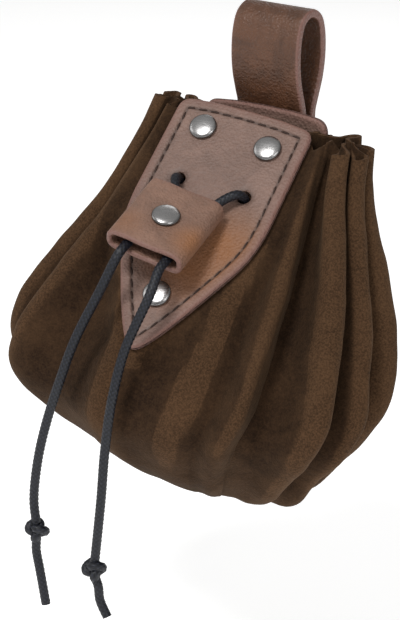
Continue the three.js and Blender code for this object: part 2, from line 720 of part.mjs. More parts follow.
function knotGeometry(row) {
  const centre = hanging(row);
  const ringRadius = (knotWidth / 2 - cordRadius) / 3;
  const turns = [];
  for (let part = 0; part < 3; part += 1) {
    const points = [];
    for (let k = 0; k <= 5; k += 1) {
      const t = ((part + (k * 1.06 - 0.15) / 5) / 3) * 2 * Math.PI;
      points.push(new THREE.Vector3(
        ringRadius * (Math.sin(t) + 2 * Math.sin(2 * t)),
        ringRadius * (Math.cos(t) - 2 * Math.cos(2 * t)),
        -ringRadius * 1.9 * Math.sin(3 * t),
      ));
    }
    turns.push(toSolid(cordGeometry(points, 2.8)));
  }
  let solid = turns[0].add(turns[1]).add(turns[2]);
  const core = new THREE.SphereGeometry(cordRadius * 1.3, 8, 6);
  solid = solid.add(toSolid(core));
  const hole = new THREE.CylinderGeometry(cordRadius + 2 * gap, cordRadius + 2 * gap, 8, 8);
  hole.rotateX(Math.PI / 2);
  for (const end of [1, -1]) {
    const socket = hole.clone();
    socket.translate(0, 0, end * (4 + knotSocket - 0.4));
    socket.rotateY(rad(-row.tilt));
    solid = solid.subtract(toSolid(socket));
  }
  const geometry = fromSolid(solid);
  geometry.rotateY(rad(row.tilt));
  geometry.translate(centre.x, centre.y, centre.z);
  return geometry;
}

// Assembly

const pouch = new THREE.Group();
pouch.name = "belt_pouch";

function add(name, geometry, colour) {
  const [hex, roughness, metalness] = colours[colour];
  const material = new THREE.MeshStandardMaterial({ color: hex, roughness, metalness });
  material.name = colour;
  const mesh = new THREE.Mesh(geometry, material);
  mesh.name = name;
  pouch.add(mesh);
}

const spread = cordHoleSpread / 2;
let suede = toSolid(buildSuede());
let front = toSolid(plateGeometry(plateThickness).applyMatrix4(frontFrame));
for (const x of [-spread, spread]) {
  const cutter = holeCutter(frontFrame, x, cordHoleDrop, cordHole, -2, behindSuede + 3, 12);
  suede = suede.subtract(cutter);
  front = front.subtract(cutter);
}
for (const row of Object.values(frontRivets)) {
  const x = row.x * plateWidth;
  const down = row.down * plateHeight;
  front = front.subtract(holeCutter(frontFrame, x, down, rivetHole, -1, plateThickness + 1, 10));
}
add("pouch_body", fromSolid(suede), "suede");
add("front_plate", fromSolid(front), "plate");

let back = toSolid(plateGeometry(backPlateThickness).applyMatrix4(backFrame));
let strap = toSolid(loopGeometry());
const strapBack = 2 * (strapThickness + gap) + backPlateThickness + gap;
for (const row of Object.values(backRivets)) {
  const x = row.x * plateWidth;
  const down = row.down * plateHeight;
  const cutter = holeCutter(backFrame, x, down, rivetHole, 0.8, strapBack + 4, 10);
  back = back.subtract(cutter);
  strap = strap.subtract(cutter);
}
add("back_plate", fromSolid(back), "plate");
add("belt_loop", fromSolid(strap), "strap");

for (const [name, row] of Object.entries(frontRivets)) {
  const place = [row.x * plateWidth, row.down * plateHeight];
  add(name, rivetGeometry(frontFrame, place[0], place[1], 0, plateThickness), "steel");
}
for (const [name, row] of Object.entries(backRivets)) {
  const outside = backFrame.clone().multiply(new THREE.Matrix4().makeRotationZ(Math.PI));
  const lift = strapBack;
  const place = [-row.x * plateWidth, row.down * plateHeight];
  add(name, rivetGeometry(outside, place[0], place[1], lift, lift - 1.0), "steel");
}
add("cord_slider", sliderGeometry(), "slider");
add("rivet_slider", rivetGeometry(sliderFrame, 0, 0, 0, sliderWall), "steel");

add("cord_left", cordGeometry(leftPoints, 7), "cord");
add("cord_right", cordGeometry(rightPoints, 7), "cord");
add("cord_inner", cordGeometry(innerPoints, 7), "cord");
add("knot_left", knotGeometry(knots.knot_left), "cord");
add("knot_right", knotGeometry(knots.knot_right), "cord");
add("tail_left", cordGeometry(tailLeft.map(hanging), 5), "cord");
add("tail_right", cordGeometry(tailRight.map(hanging), 5), "cord");

export { frontFrame, backFrame, sliderFrame };
export default pouch;
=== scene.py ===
"""Medieval belt pouch: a gathered suede bag between two shield-shaped leather plates, hung from a
leather belt loop and drawn shut by a waxed cord that runs through a riveted leather slider."""

import math

import bpy
import numpy as np
from mathutils import Matrix, Vector, noise


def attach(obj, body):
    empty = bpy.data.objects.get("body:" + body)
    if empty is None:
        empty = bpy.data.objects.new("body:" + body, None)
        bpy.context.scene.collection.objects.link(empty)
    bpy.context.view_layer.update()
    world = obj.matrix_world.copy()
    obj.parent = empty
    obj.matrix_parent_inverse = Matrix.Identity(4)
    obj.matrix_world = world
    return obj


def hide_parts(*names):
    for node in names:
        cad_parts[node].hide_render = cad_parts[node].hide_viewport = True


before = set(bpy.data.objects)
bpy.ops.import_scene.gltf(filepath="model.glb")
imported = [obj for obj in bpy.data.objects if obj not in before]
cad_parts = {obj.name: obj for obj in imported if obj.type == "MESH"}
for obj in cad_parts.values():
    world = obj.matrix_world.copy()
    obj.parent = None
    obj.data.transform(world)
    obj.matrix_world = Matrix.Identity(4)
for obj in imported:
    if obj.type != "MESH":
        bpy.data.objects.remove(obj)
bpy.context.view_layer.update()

bl_info = {
    "name": "Medieval belt pouch",
    "version": (1, 0, 0),
    "blender": (4, 5, 0),
    "location": "View3D > Sidebar > Pouch",
    "description": "Builds a gathered suede belt pouch with leather plates, loop, slider and waxed cords",
    "category": "Add Mesh",
}

MM = 0.001
GAP = 0.3 * MM  # clearance between pieces that touch
HOLE_SIDE = 12.7 * MM  # cord holes, to either side of the plate's middle
HOLE_DROP = 31.5 * MM  # cord holes, below the plate's top edge
HOLES = (-HOLE_SIDE, HOLE_SIDE)
BACK_SLOPE = 9.0  # back plate and strap ends, degrees from upright

# Sections of the bag, rim first: the same table as the part's solids
SECTIONS = np.array([
    # down, side, back, width, depth, round, turn, lean, open, fold
    (0.0, 0.03, -0.118, 0.53, 0.085, 2.3, 5, 3.0, 0.0, 1.0),
    (0.08, 0.03, -0.162, 0.53, 0.12, 2.3, 7, 4.5, 0.05, 1.0),
    (0.18, 0.035, -0.218, 0.55, 0.175, 2.3, 9, 6.0, 0.18, 0.98),
    (0.3, 0.045, -0.28, 0.61, 0.25, 2.3, 10, 6.5, 0.42, 0.95),
    (0.45, 0.045, -0.36, 0.735, 0.355, 2.3, 10, 7.0, 0.7, 0.9),
    (0.6, 0.03, -0.425, 0.855, 0.445, 2.25, 10, 7.0, 0.88, 0.8),
    (0.71, -0.015, -0.43, 0.86, 0.485, 2.2, 10, 7.0, 1.0, 0.68),
    (0.81, -0.035, -0.415, 0.735, 0.445, 2.15, 10, 8.0, 1.0, 0.58),
    (0.9, -0.02, -0.4, 0.57, 0.355, 2.1, 10, 9.5, 1.0, 0.42),
    (0.965, 0.0, -0.39, 0.36, 0.225, 2.05, 10, 10.5, 1.0, 0.18),
    (1.0, 0.0, -0.385, 0.0, 0.0, 2.0, 10, 10.5, 1.0, 0.0),
])
COLUMNS = ("down", "side", "back", "width", "depth", "round", "turn", "lean", "open", "fold")

# Folds of the suede, from the middle of the front round by the viewer's right
FOLDS = [
    # belly, neck, full, peak, valley, ends, rise, side
    (22, 0.1167, 0.2, 0.5, 0.035, 0.8, 0.0, "front"),
    (14, 0.06, 0.8, 0.6, 0.075, 0.72, -0.005, "front"),
    (28, 0.042, 1.15, 0.72, 0.075, 1.2, -0.03, "front"),
    (16, 0.036, 1.2, 0.6, 0.06, 0.9, -0.035, "front"),
    (26, 0.04, 1.15, 0.5, 0.05, 0.85, -0.02, "back"),
    (21, 0.045, 1.0, 0.42, 0.05, 0.9, 0.0, "back"),
    (23, 0.052, 0.9, 0.4, 0.02, 0.8, 0.01, "back"),
    (29, 0.1167, 0.2, 0.5, 0.01, 0.8, 0.0, "back"),
    (29, 0.1167, 0.2, 0.5, 0.02, 0.8, 0.0, "back"),
    (22, 0.05, 0.9, 0.6, 0.045, 0.85, 0.0, "back"),
    (20, 0.044, 1.0, 0.58, 0.05, 0.9, 0.01, "back"),
    (21, 0.04, 1.0, 0.5, 0.055, 0.9, 0.015, "front"),
    (22, 0.042, 1.0, 0.42, 0.04, 0.9, 0.02, "front"),
    (45, 0.0922, 0.5, 0.25, 0.04, 0.75, 0.015, "front"),
    (22, 0.1167, 0.2, 0.5, 0.0, 0.8, 0.0, "front"),
]

# Outline of the plates from the tip up: share of the height, share of half the width
PLATE_OUTLINE = [
    (0.0, 0.0), (0.006, 0.06), (0.025, 0.135), (0.079, 0.27), (0.1615, 0.446), (0.244, 0.602),
    (0.327, 0.753), (0.389, 0.862), (0.446, 0.94), (0.503, 0.985), (0.575, 1.008), (0.75, 1.004),
]

# Belt loop seen from its side: share of the strap's drop, bow from narrow neck to widest loop
LOOP_PATH = [
    (1.0, 0.0), (0.76, 0.0), (0.55, 0.0), (0.5, 0.03), (0.43, 0.36),
    (0.33, 0.8), (0.2, 1.0), (0.085, 0.84), (0.012, 0.38),
]

# Hanging cords: share of half the bag's width, of its depth forward, of its height down
HANG_LEFT = [
    (-0.109, 0.89, 0.648), (-0.187, 0.95, 0.786), (-0.241, 0.98, 0.903), (-0.308, 0.99, 1.029),
    (-0.359, 0.995, 1.155), (-0.385, 0.995, 1.282), (-0.372, 0.995, 1.348),
]
TAIL_LEFT = [(-0.37, 0.995, 1.393), (-0.373, 0.995, 1.433), (-0.351, 0.995, 1.493), (-0.315, 0.995, 1.592)]
HANG_RIGHT = [
    (0.149, 0.87, 0.630), (0.092, 0.945, 0.775), (0.064, 0.985, 0.912), (0.036, 0.995, 1.058),
    (0.02, 1.0, 1.207), (-0.005, 1.0, 1.346), (-0.016, 1.0, 1.404),
]
TAIL_RIGHT = [(-0.015, 1.0, 1.445), (0.006, 1.0, 1.471), (0.017, 1.0, 1.512), (0.06, 1.0, 1.555)]
KNOT_LEFT = (-0.367, 0.995, 1.371)
KNOT_RIGHT = (-0.018, 1.0, 1.424)
INNER_RUN = [
    (-0.213, 0.35, 0.48), (-0.333, 0.27, 0.48), (-0.347, 0.16, 0.472), (-0.187, 0.115, 0.472),
    (0.0, 0.11, 0.472), (0.187, 0.11, 0.476), (0.32, 0.14, 0.48), (0.32, 0.24, 0.488), (0.227, 0.31, 0.496),
]


# Where the filled bag settles a little past its drawn folds, in millimetres: middle, shift, reach
SETTLES = [
    ((69.9, -27.1, -131.8), (-4.8, -3.6, -0.1), 26.0),
    ((42.5, -42.5, -157.0), (1.2, 0.0, -4.0), 10.0),
]


def length(name, description, default):
    return bpy.props.FloatProperty(
        name=name, description=description, default=default, min=0.0, unit="LENGTH", subtype="DISTANCE"
    )


def colour(name, description, default):
    return bpy.props.FloatVectorProperty(
        name=name, description=description, default=default, size=3, min=0.0, max=1.0, subtype="COLOR"
    )


class PouchSizes(bpy.types.PropertyGroup):
    """Sizes of the pouch."""

    bag_width: length("Bag width", "Belly, side to side", 0.150)
    bag_depth: length("Bag depth", "Belly, front to back", 0.100)
    bag_height: length("Bag height", "Rim to the lowest point", 0.125)
    rim_drop: length("Rim drop", "Rim below the inside top of the loop", 0.0365)
    suede: length("Suede thickness", "Thickness of the bag's suede", 0.0015)
    cloth_round: length("Cloth round", "Suede measured round the belly along its folds", 0.418)
    plate_width: length("Plate width", "Along the top edge", 0.0514)
    plate_height: length("Plate height", "Top corners to tip", 0.0966)
    plate_thick: length("Front plate thickness", "Leather of the front plate", 0.003)
    back_thick: length("Back plate thickness", "Leather of the back plate", 0.0026)
    stitch_inset: length("Stitch inset", "Stitch line in from the plate's edge", 0.0040)
    stitch_pitch: length("Stitch pitch", "From one stitch hole to the next", 0.0046)
    strap_width: length("Strap width", "Width of the belt loop's strap", 0.0282)
    strap_thick: length("Strap thickness", "Leather of the belt loop", 0.003)
    strap_drop: length("Strap drop", "Lower ends of the strap below the loop's inside top", 0.066)
    loop_depth: length("Loop depth", "Loop's widest, front to back", 0.0188)
    loop_neck: length("Loop neck", "Both strips together at the neck", 0.0092)
    cap_radius: length("Rivet cap radius", "Radius of the rivet caps", 0.0049)
    cap_height: length("Rivet cap height", "Rise of the rivet caps", 0.0017)
    cord: length("Cord diameter", "Waxed cord", 0.0033)
    knot_width: length("Knot width", "Across an overhand knot", 0.0090)
    slider_width: length("Slider width", "Across the cords", 0.0286)
    slider_length: length("Slider length", "Along the cords", 0.0305)
    slider_wall: length("Slider wall", "Leather of the slider", 0.0020)
    slider_room: length("Slider room", "Clear height inside the slider", 0.0043)


class PouchColours(bpy.types.PropertyGroup):
    """Colours of the pouch."""

    suede_light: colour("Suede light", "Rubbed suede", (0.056, 0.0295, 0.0145))
    suede_dark: colour("Suede dark", "Suede in its nap", (0.0150, 0.0076, 0.0040))
    plate: colour("Plate", "Plate leather", (0.215, 0.132, 0.103))
    plate_warm: colour("Plate warm", "Rubbed warm patch of the plate", (0.24, 0.10, 0.038))
    slider: colour("Slider", "Slider leather", (0.225, 0.125, 0.086))
    strap: colour("Strap", "Belt loop leather", (0.080, 0.033, 0.0155))
    edge: colour("Cut edge", "Cut and burnished leather edges", (0.185, 0.092, 0.072))
    thread: colour("Thread", "Waxed stitching thread", (0.016, 0.006, 0.003))
    cord: colour("Cord", "Waxed cord", (0.0030, 0.0036, 0.0060))
    steel: colour("Steel", "Rivet caps", (0.40, 0.39, 0.385))
    floor: colour("Floor", "Pale floor", (0.93, 0.93, 0.925))


class Shade:
    """A shader value that is worked out as an expression."""

    def __init__(self, finish, socket):
        self.finish = finish
        self.socket = socket

    def math(self, operation, *others):
        values = {index: value for index, value in enumerate((self, *others))}
        return self.finish.node("ShaderNodeMath", {"operation": operation}, values)

    def __add__(self, other):
        return self.math("ADD", other)

    __radd__ = __add__

    def __mul__(self, other):
        return self.math("MULTIPLY", other)

    __rmul__ = __mul__

    def __sub__(self, other):
        return self.math("SUBTRACT", other)

    def __rsub__(self, other):
        return self * -1.0 + other

    def clamped(self):
        return self.math("MINIMUM", 1.0).math("MAXIMUM", 0.0)

    def smooth(self, low, high):
        """0 below low, 1 above high, eased between."""
        return self.finish.node(
            "ShaderNodeMapRange", {"interpolation_type": "SMOOTHSTEP"},
            {"Value": self, "From Min": low, "From Max": high, "To Min": 0.0, "To Max": 1.0},
        )


class Finish:
    """A material and its nodes."""

    def __init__(self, name):
        self.material = bpy.data.materials.new(name)
        self.material.use_nodes = True
        self.tree = self.material.node_tree
        self.surface = self.tree.nodes["Principled BSDF"]

    def node(self, kind, settings, values, output=0):
        made = self.tree.nodes.new(kind)
        for key, value in settings.items():
            setattr(made, key, value)
        for key, value in values.items():
            self.feed(made.inputs[key], value)
        return Shade(self, made.outputs[output])

    def feed(self, socket, value):
        if isinstance(value, Shade):
            self.tree.links.new(value.socket, socket)
        elif isinstance(value, (tuple, list)) and len(value) == 3 and socket.type == "RGBA":
            socket.default_value = (*value, 1.0)
        else:
            socket.default_value = value

    def place(self):
        return self.node("ShaderNodeTexCoord", {}, {}, "Object")

    def attribute(self, name):
        return self.node("ShaderNodeAttribute", {"attribute_name": name}, {}, "Fac")

    def noise(self, scale, detail=3.0, rough=0.5, vector=None, distortion=0.0):
        values = {"Vector": vector or self.place(), "Scale": scale, "Detail": detail}
        values.update({"Roughness": rough, "Distortion": distortion})
        return self.node("ShaderNodeTexNoise", {}, values, "Fac")

    def cells(self, scale):
        values = {"Vector": self.place(), "Scale": scale}
        return self.node("ShaderNodeTexVoronoi", {"feature": "F1"}, values, "Distance")

    def mix(self, factor, a, b):
        settings = {"data_type": "RGBA", "blend_type": "MIX"}
        made = self.node("ShaderNodeMix", settings, {0: factor, 6: a, 7: b}, 2)
        return made

    def near(self, point, reach):
        """1 at a point of the object, falling to 0 at reach metres from it."""
        values = {0: self.place(), 1: point}
        away = self.node("ShaderNodeVectorMath", {"operation": "DISTANCE"}, values, "Value")
        return 1.0 - away.smooth(0.0, reach)

    def bump(self, height, distance, strength=1.0, normal=None):
        values = {"Height": height, "Distance": distance, "Strength": strength}
        if normal is not None:
            values["Normal"] = normal
        return self.node("ShaderNodeBump", {}, values)

    def surface_is(self, **values):
        for key, value in values.items():
            self.feed(self.surface.inputs[key.replace("_", " ")], value)
        return self.material


# Finishes


def suede_finish(colours):
    """Napped suede: brushed light and dark patches, speckled nap, rubbed fold edges, painted shade in the
    valleys between folds.
    """
    made = Finish("napped_suede")
    rub_and_crease_shade = made.attribute("rub_and_crease_shade")
    brushed = made.noise(38.0, 4.0, 0.62, distortion=0.6).smooth(0.36, 0.66)
    nap = made.noise(1500.0, 2.0, 0.7).smooth(0.34, 0.68)
    fluff = made.noise(520.0, 3.0, 0.7).smooth(0.35, 0.68)
    # Painted shade: the fold mark darkens the valleys between folds; its ridge side lightens rubbed fold
    # edges
    light = (brushed * 0.42 + nap * 0.34 + fluff * 0.24 + rub_and_crease_shade * 0.13).clamped()
    base = made.mix(light, tuple(colours.suede_dark), tuple(colours.suede_light))
    rubbed = tuple(min(1.0, channel * 2.0) for channel in colours.suede_light)
    base = made.mix((rub_and_crease_shade.smooth(0.75, 1.1) * (nap * 0.5 + 0.15)).clamped(), base, rubbed)
    height = nap * 0.6 + fluff * 0.8 + made.noise(150.0, 3.0) * 2.2
    made.surface_is(
        Base_Color=base, Roughness=0.96, Normal=made.bump(height, 0.00012, 0.8),
        Sheen_Weight=0.12, Sheen_Roughness=0.5, Sheen_Tint=(0.50, 0.33, 0.20), Specular_IOR_Level=0.1,
    )
    return made.material


def suede_edge_finish(colours):
    """Cut edge of the suede, paler than its face."""
    made = Finish("suede_cut_edge")
    fibres = made.noise(1800.0, 2.0, 0.6)
    pale = tuple(min(1.0, channel * 1.7) for channel in colours.suede_light)
    base = made.mix(fibres.smooth(0.3, 0.7), tuple(colours.suede_light), pale)
    made.surface_is(Base_Color=base, Roughness=0.95, Normal=made.bump(fibres, 0.0002), Specular_IOR_Level=0.2)
    return made.material


def leather_finish(name, base_colour, edge_colour, warm=None, mottle=0.5, rough=0.5):
    """Dyed, waxed leather: fine grain, mottled dye, pale burnished edges, warm rubbed places, painted shade
    in the stitch groove and round the cord holes.
    """
    made = Finish(name)
    edge = made.attribute("edge")
    groove = made.attribute("groove")
    cloud = made.noise(55.0, 5.0, 0.62, distortion=0.8).smooth(0.32, 0.70)
    fine = made.noise(420.0, 4.0, 0.66)
    grain = made.cells(1050.0)
    pores = made.noise(1700.0, 2.0, 0.6)
    dark = tuple(channel * 0.52 for channel in base_colour)
    light = tuple(min(1.0, channel * 1.28) for channel in base_colour)
    base = made.mix((cloud * mottle + fine * 0.5 + pores * 0.3 - 0.06).clamped(), dark, light)
    if warm is not None:
        for place, reach, amount in warm["places"]:
            spread = (made.near(place, reach) * (made.noise(90.0, 4.0, 0.6) * 0.9 + 0.45) * amount).clamped()
            base = made.mix(spread, base, warm["colour"])
    # Painted shade: darker in the stitch groove and round the cord holes
    base = made.mix((groove * 0.85).clamped(), base, tuple(channel * 0.22 for channel in base_colour))
    edge_mix = (edge * (fine * 0.5 + 0.7)).clamped()
    base = made.mix(edge_mix, base, edge_colour)
    height = grain * 0.9 + fine * 0.9 + pores * 0.35
    shine = (fine * 0.25 + (rough - 0.12)).clamped()
    made.surface_is(
        Base_Color=base, Roughness=shine, Normal=made.bump(height, 0.00034, 0.9),
        Specular_IOR_Level=0.42, Coat_Weight=0.08, Coat_Roughness=0.35,
    )
    return made.material


def thread_finish(colours):
    """Dark waxed thread with its twist."""
    made = Finish("waxed_thread")
    twist = made.noise(2600.0, 2.0, 0.6)
    base = made.mix(twist.smooth(0.35, 0.65), tuple(colours.thread), tuple(c * 2.4 for c in colours.thread))
    made.surface_is(Base_Color=base, Roughness=0.6, Normal=made.bump(twist, 0.0001), Specular_IOR_Level=0.4)
    return made.material


def cord_finish(colours):
    """Black-blue waxed cord: painted highlight on the crowns of the braid, broken up by noise, black between
    its strands.
    """
    made = Finish("waxed_cord")
    crown = made.attribute("crown")
    wax_and_highlight = made.noise(700.0, 3.0, 0.6)
    # Painted highlight: the crowns of the braid are lightened up to six times the cord's colour
    light = tuple(channel * 6.0 for channel in colours.cord)
    base = made.mix((crown.smooth(0.5, 1.0) * (wax_and_highlight * 0.9 + 0.1)).clamped(), tuple(colours.cord), light)
    fibre = made.noise(2400.0, 2.0, 0.6)
    made.surface_is(
        Base_Color=base, Roughness=(wax_and_highlight * 0.3 + 0.34).clamped(),
        Normal=made.bump(fibre, 0.00010, 0.7), Specular_IOR_Level=0.4,
    )
    return made.material


def steel_finish(colours):
    """Polished rivet caps with turned marks, small scratches and painted shade round the rim."""
    made = Finish("polished_steel")
    stretched = made.node(
        "ShaderNodeMapping", {}, {"Vector": made.place(), "Scale": (300.0, 300.0, 3500.0)}
    )
    scratch = made.noise(1.0, 3.0, 0.7, vector=stretched)
    rim_shade = made.attribute("rim")
    tone = made.noise(260.0, 3.0, 0.6)
    bright = tuple(min(1.0, channel * 1.25) for channel in colours.steel)
    base = made.mix(tone, tuple(colours.steel), bright)
    # Painted shade: the cap darkens towards its rim, where it meets the leather
    base = made.mix((rim_shade * 0.8).clamped(), base, tuple(channel * 0.22 for channel in colours.steel))
    made.surface_is(
        Base_Color=base, Metallic=1.0, Roughness=(scratch * 0.22 + 0.17).clamped(),
        Normal=made.bump(scratch, 0.00006, 0.5),
    )
    return made.material


def floor_finish(colours):
    """Plain pale floor."""
    made = Finish("pale_floor")
    tone = made.noise(3.0, 2.0, 0.5)
    base = made.mix(tone, tuple(colours.floor), tuple(channel * 0.985 for channel in colours.floor))
    made.surface_is(Base_Color=base, Roughness=0.9, Emission_Color=(1.0, 1.0, 1.0), Emission_Strength=0.50)
    return made.material


# Frames of the plates and the slider


def turned(turn, roll, slope):
    place = Matrix.Rotation(math.radians(turn), 4, "Z")
    place = place @ Matrix.Rotation(math.radians(roll), 4, "Y")
    return place @ Matrix.Rotation(math.radians(-slope), 4, "X")


def plate_frames():
    """Frames of the front plate, back plate and slider: x across, y inward, z up, origin on the face."""
    front = turned(9.9, 7.0, 46.6)
    front.translation = Vector((0.0, -17.7, -32.7)) * MM
    back = Matrix.Rotation(math.radians(BACK_SLOPE), 4, "X")
    back.translation = Vector((0.0, -8.0, -33.5)) * MM
    slider = turned(11.4, 13.2, 66.6)
    slider.translation = front @ (Vector((-3.4, -14.1, -53.4)) * MM)
    return front, back, slider


def moved(points, matrix):
    rows = np.array(matrix)
    return points @ rows[:3, :3].T + rows[:3, 3]


def eased(t):
    t = np.clip(t, 0.0, 1.0)
    return t * t * (3 - 2 * t)


def built(name, points, faces, attributes=None, finishes=(), replaces=()):
    """A smooth mesh piece that rides on the pouch."""
    mesh = bpy.data.meshes.new(name)
    mesh.from_pydata(np.asarray(points, float).tolist(), [], faces)
    for key, values in (attributes or {}).items():
        made = mesh.attributes.new(key, "FLOAT", "POINT")
        made.data.foreach_set("value", np.asarray(values, np.float32))
    mesh.validate()
    mesh.shade_smooth()
    for finish in finishes:
        mesh.materials.append(finish)
    piece = bpy.data.objects.new(name, mesh)
    bpy.context.scene.collection.objects.link(piece)
    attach(piece, "root")
    if replaces:
        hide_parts(*replaces)
    return piece


def grid_faces(rows, columns, wrap_rows=False, wrap_columns=True, flip=False):
    faces = []
    for j in range(rows if wrap_rows else rows - 1):
        k = (j + 1) % rows
        for i in range(columns if wrap_columns else columns - 1):
            n = (i + 1) % columns
            face = (j * columns + i, k * columns + i, k * columns + n, j * columns + n)
            faces.append(face[::-1] if flip else face)
    return faces


def settled(piece):
    """Applies the piece's modifiers to its mesh."""
    shown = piece.evaluated_get(bpy.context.evaluated_depsgraph_get())
    mesh = bpy.data.meshes.new_from_object(shown)
    piece.modifiers.clear()
    old = piece.data
    piece.data = mesh
    bpy.data.meshes.remove(old)
    return piece


def kept_finish(name):
    return bpy.data.materials[name]


# Suede bag


def bessel(order, x):
    term = np.ones_like(x)
    for k in range(1, order + 1):
        term = term * x / (2 * k)
    total = term.copy()
    for k in range(1, 14):
        term = term * (-x * x) / (4 * k * (k + order))
        total += term
    return total


STEEPNESS = np.linspace(0.0, 2.1, 500)
SPREAD = bessel(0, STEEPNESS)


def section_at(down):
    """Smooth reading of the sections table."""
    rows = SECTIONS
    i = 0
    while i < len(rows) - 2 and rows[i + 1][0] < down:
        i += 1
    a, b, c, d = rows[max(i - 1, 0)], rows[i], rows[i + 1], rows[min(i + 2, len(rows) - 1)]
    span = c[0] - b[0]
    t = min(max((down - b[0]) / span, 0.0), 1.0)
    slope_b = (c - b) / span if i == 0 else (c - a) / (c[0] - a[0])
    slope_c = (c - b) / span if i + 2 > len(rows) - 1 else (d - b) / (d[0] - b[0])
    t2, t3 = t * t, t * t * t
    found = (2 * t3 - 3 * t2 + 1) * b + (t3 - 2 * t2 + t) * span * slope_b
    found = found + (3 * t2 - 2 * t3) * c + (t3 - t2) * span * slope_c
    return dict(zip(COLUMNS, found))


def plate_half(down, sizes):
    """Half width of a plate at distances down from its top edge."""
    up = 1 - np.asarray(down) / sizes.plate_height
    ups = [row[0] for row in PLATE_OUTLINE] + [1.0]
    halves = [row[1] for row in PLATE_OUTLINE] + [1.0]
    return np.interp(up, ups, halves) * sizes.plate_width / 2


def rest_on_plate(points, place, offset, reach, sizes):
    """Draws the suede near a plate's outline to the plate's plane."""
    local = moved(points, place.inverted())
    down = -local[:, 2]
    half = plate_half(np.clip(down, 0, sizes.plate_height), sizes)
    outside = np.maximum(np.maximum(np.abs(local[:, 0]) - half, down - sizes.plate_height), -down * 0.35)
    near = 1 - eased((np.abs(local[:, 1] - offset) - reach) / reach)
    pull = (1 - eased(outside / reach)) * near
    local[:, 1] += (offset - local[:, 1]) * pull
    return moved(local, place)


def suede_row(down, columns, sizes, front, back):
    """One level of the suede's middle surface, all the way round."""
    section = section_at(down)
    a = max(section["width"] * sizes.bag_width / 2, 0.01 * MM)
    b = max(section["depth"] * sizes.bag_depth, 0.01 * MM)
    angle = np.linspace(0, 2 * np.pi, 721)
    s, c = np.sin(angle), np.cos(angle)
    ox = a * np.sign(s) * np.abs(s) ** (2 / section["round"])
    oy = -b * np.sign(c) * np.abs(c) ** (2 / section["round"])
    run = np.concatenate([[0], np.cumsum(np.hypot(np.diff(ox), np.diff(oy)))])
    total = run[-1]

    def oval(share):
        wanted = (share - np.floor(share)) * total
        return np.interp(wanted, run, ox), np.interp(wanted, run, oy)

    opened = min(max(section["open"], 0.0), 1.0)
    belly_turn = sum(row[0] for row in FOLDS)
    neck_round = sum(row[1] for row in FOLDS)
    place = Matrix.Rotation(math.radians(section["turn"]), 4, "Z")
    place = place @ Matrix.Rotation(math.radians(section["lean"]), 4, "Y")
    side = section["side"] * sizes.bag_width / 2
    place.translation = (side, section["back"] * sizes.bag_depth, -sizes.rim_drop - down * sizes.bag_height)
    swell = math.sin(math.pi * min(max(down * 0.9, 0.0), 1.0)) ** 1.5
    found = []
    start = 0.0
    for index, (belly, neck, full, peak, valley, ends, rise, rests) in enumerate(FOLDS):
        q = columns[index]
        share = neck / neck_round * (1 - opened) + belly / belly_turn * opened
        cloth = belly / belly_turn * sizes.cloth_round
        width = share * total
        packed = min(max(width / cloth, 0.3), 0.99)
        w = np.interp(packed, SPREAD[::-1], STEEPNESS[::-1])
        steep = math.log(max(peak, 1 - peak)) / math.log(0.5)
        p = q ** steep if peak >= 0.5 else 1 - (1 - q) ** steep
        phase = 2 * np.pi * q
        before = FOLDS[index - 1]
        valleys = ((before[4], before[5]), (valley, ends))
        kept = [deep * (1 - eased((down - low + 0.14) / 0.28)) for deep, low in valleys]
        hollow = (kept[0] + (kept[1] - kept[0]) * p) * sizes.bag_depth * swell
        puff = 1 - 2 * np.hypot(np.sin(phase / 2), 0.2)
        gathered = min(cloth, width * 2.6) / math.pi * bessel(1, np.array(w)) * full
        fold = max(section["fold"], 0.0)
        out = -fold * (gathered * np.cos(phase) + 1.2 * hollow * puff)
        slide = cloth / (2 * math.pi) * bessel(2, np.array(w)) * np.sin(2 * phase) * full * fold * 0.8
        at = start + share * p + slide / total
        x, y = oval(at)
        lx, ly = oval(at - 0.002)
        ux, uy = oval(at + 0.002)
        tx, ty = ux - lx, uy - ly
        tl = np.maximum(np.hypot(tx, ty), 1e-12)
        rim = (1 - eased(down / 0.2)) * rise * sizes.bag_height * np.sin(np.pi * p)
        points = np.stack([x + ty / tl * out, y - tx / tl * out, rim], 1)
        points = moved(points, place)
        half = sizes.suede / 2
        if rests == "front":
            points = rest_on_plate(points, front, sizes.plate_thick + GAP + half, 9 * MM, sizes)
        else:
            points = rest_on_plate(points, back, -1.6 * GAP - half, 9 * MM, sizes)
        found.append(points)
        start += share
    return np.concatenate(found)


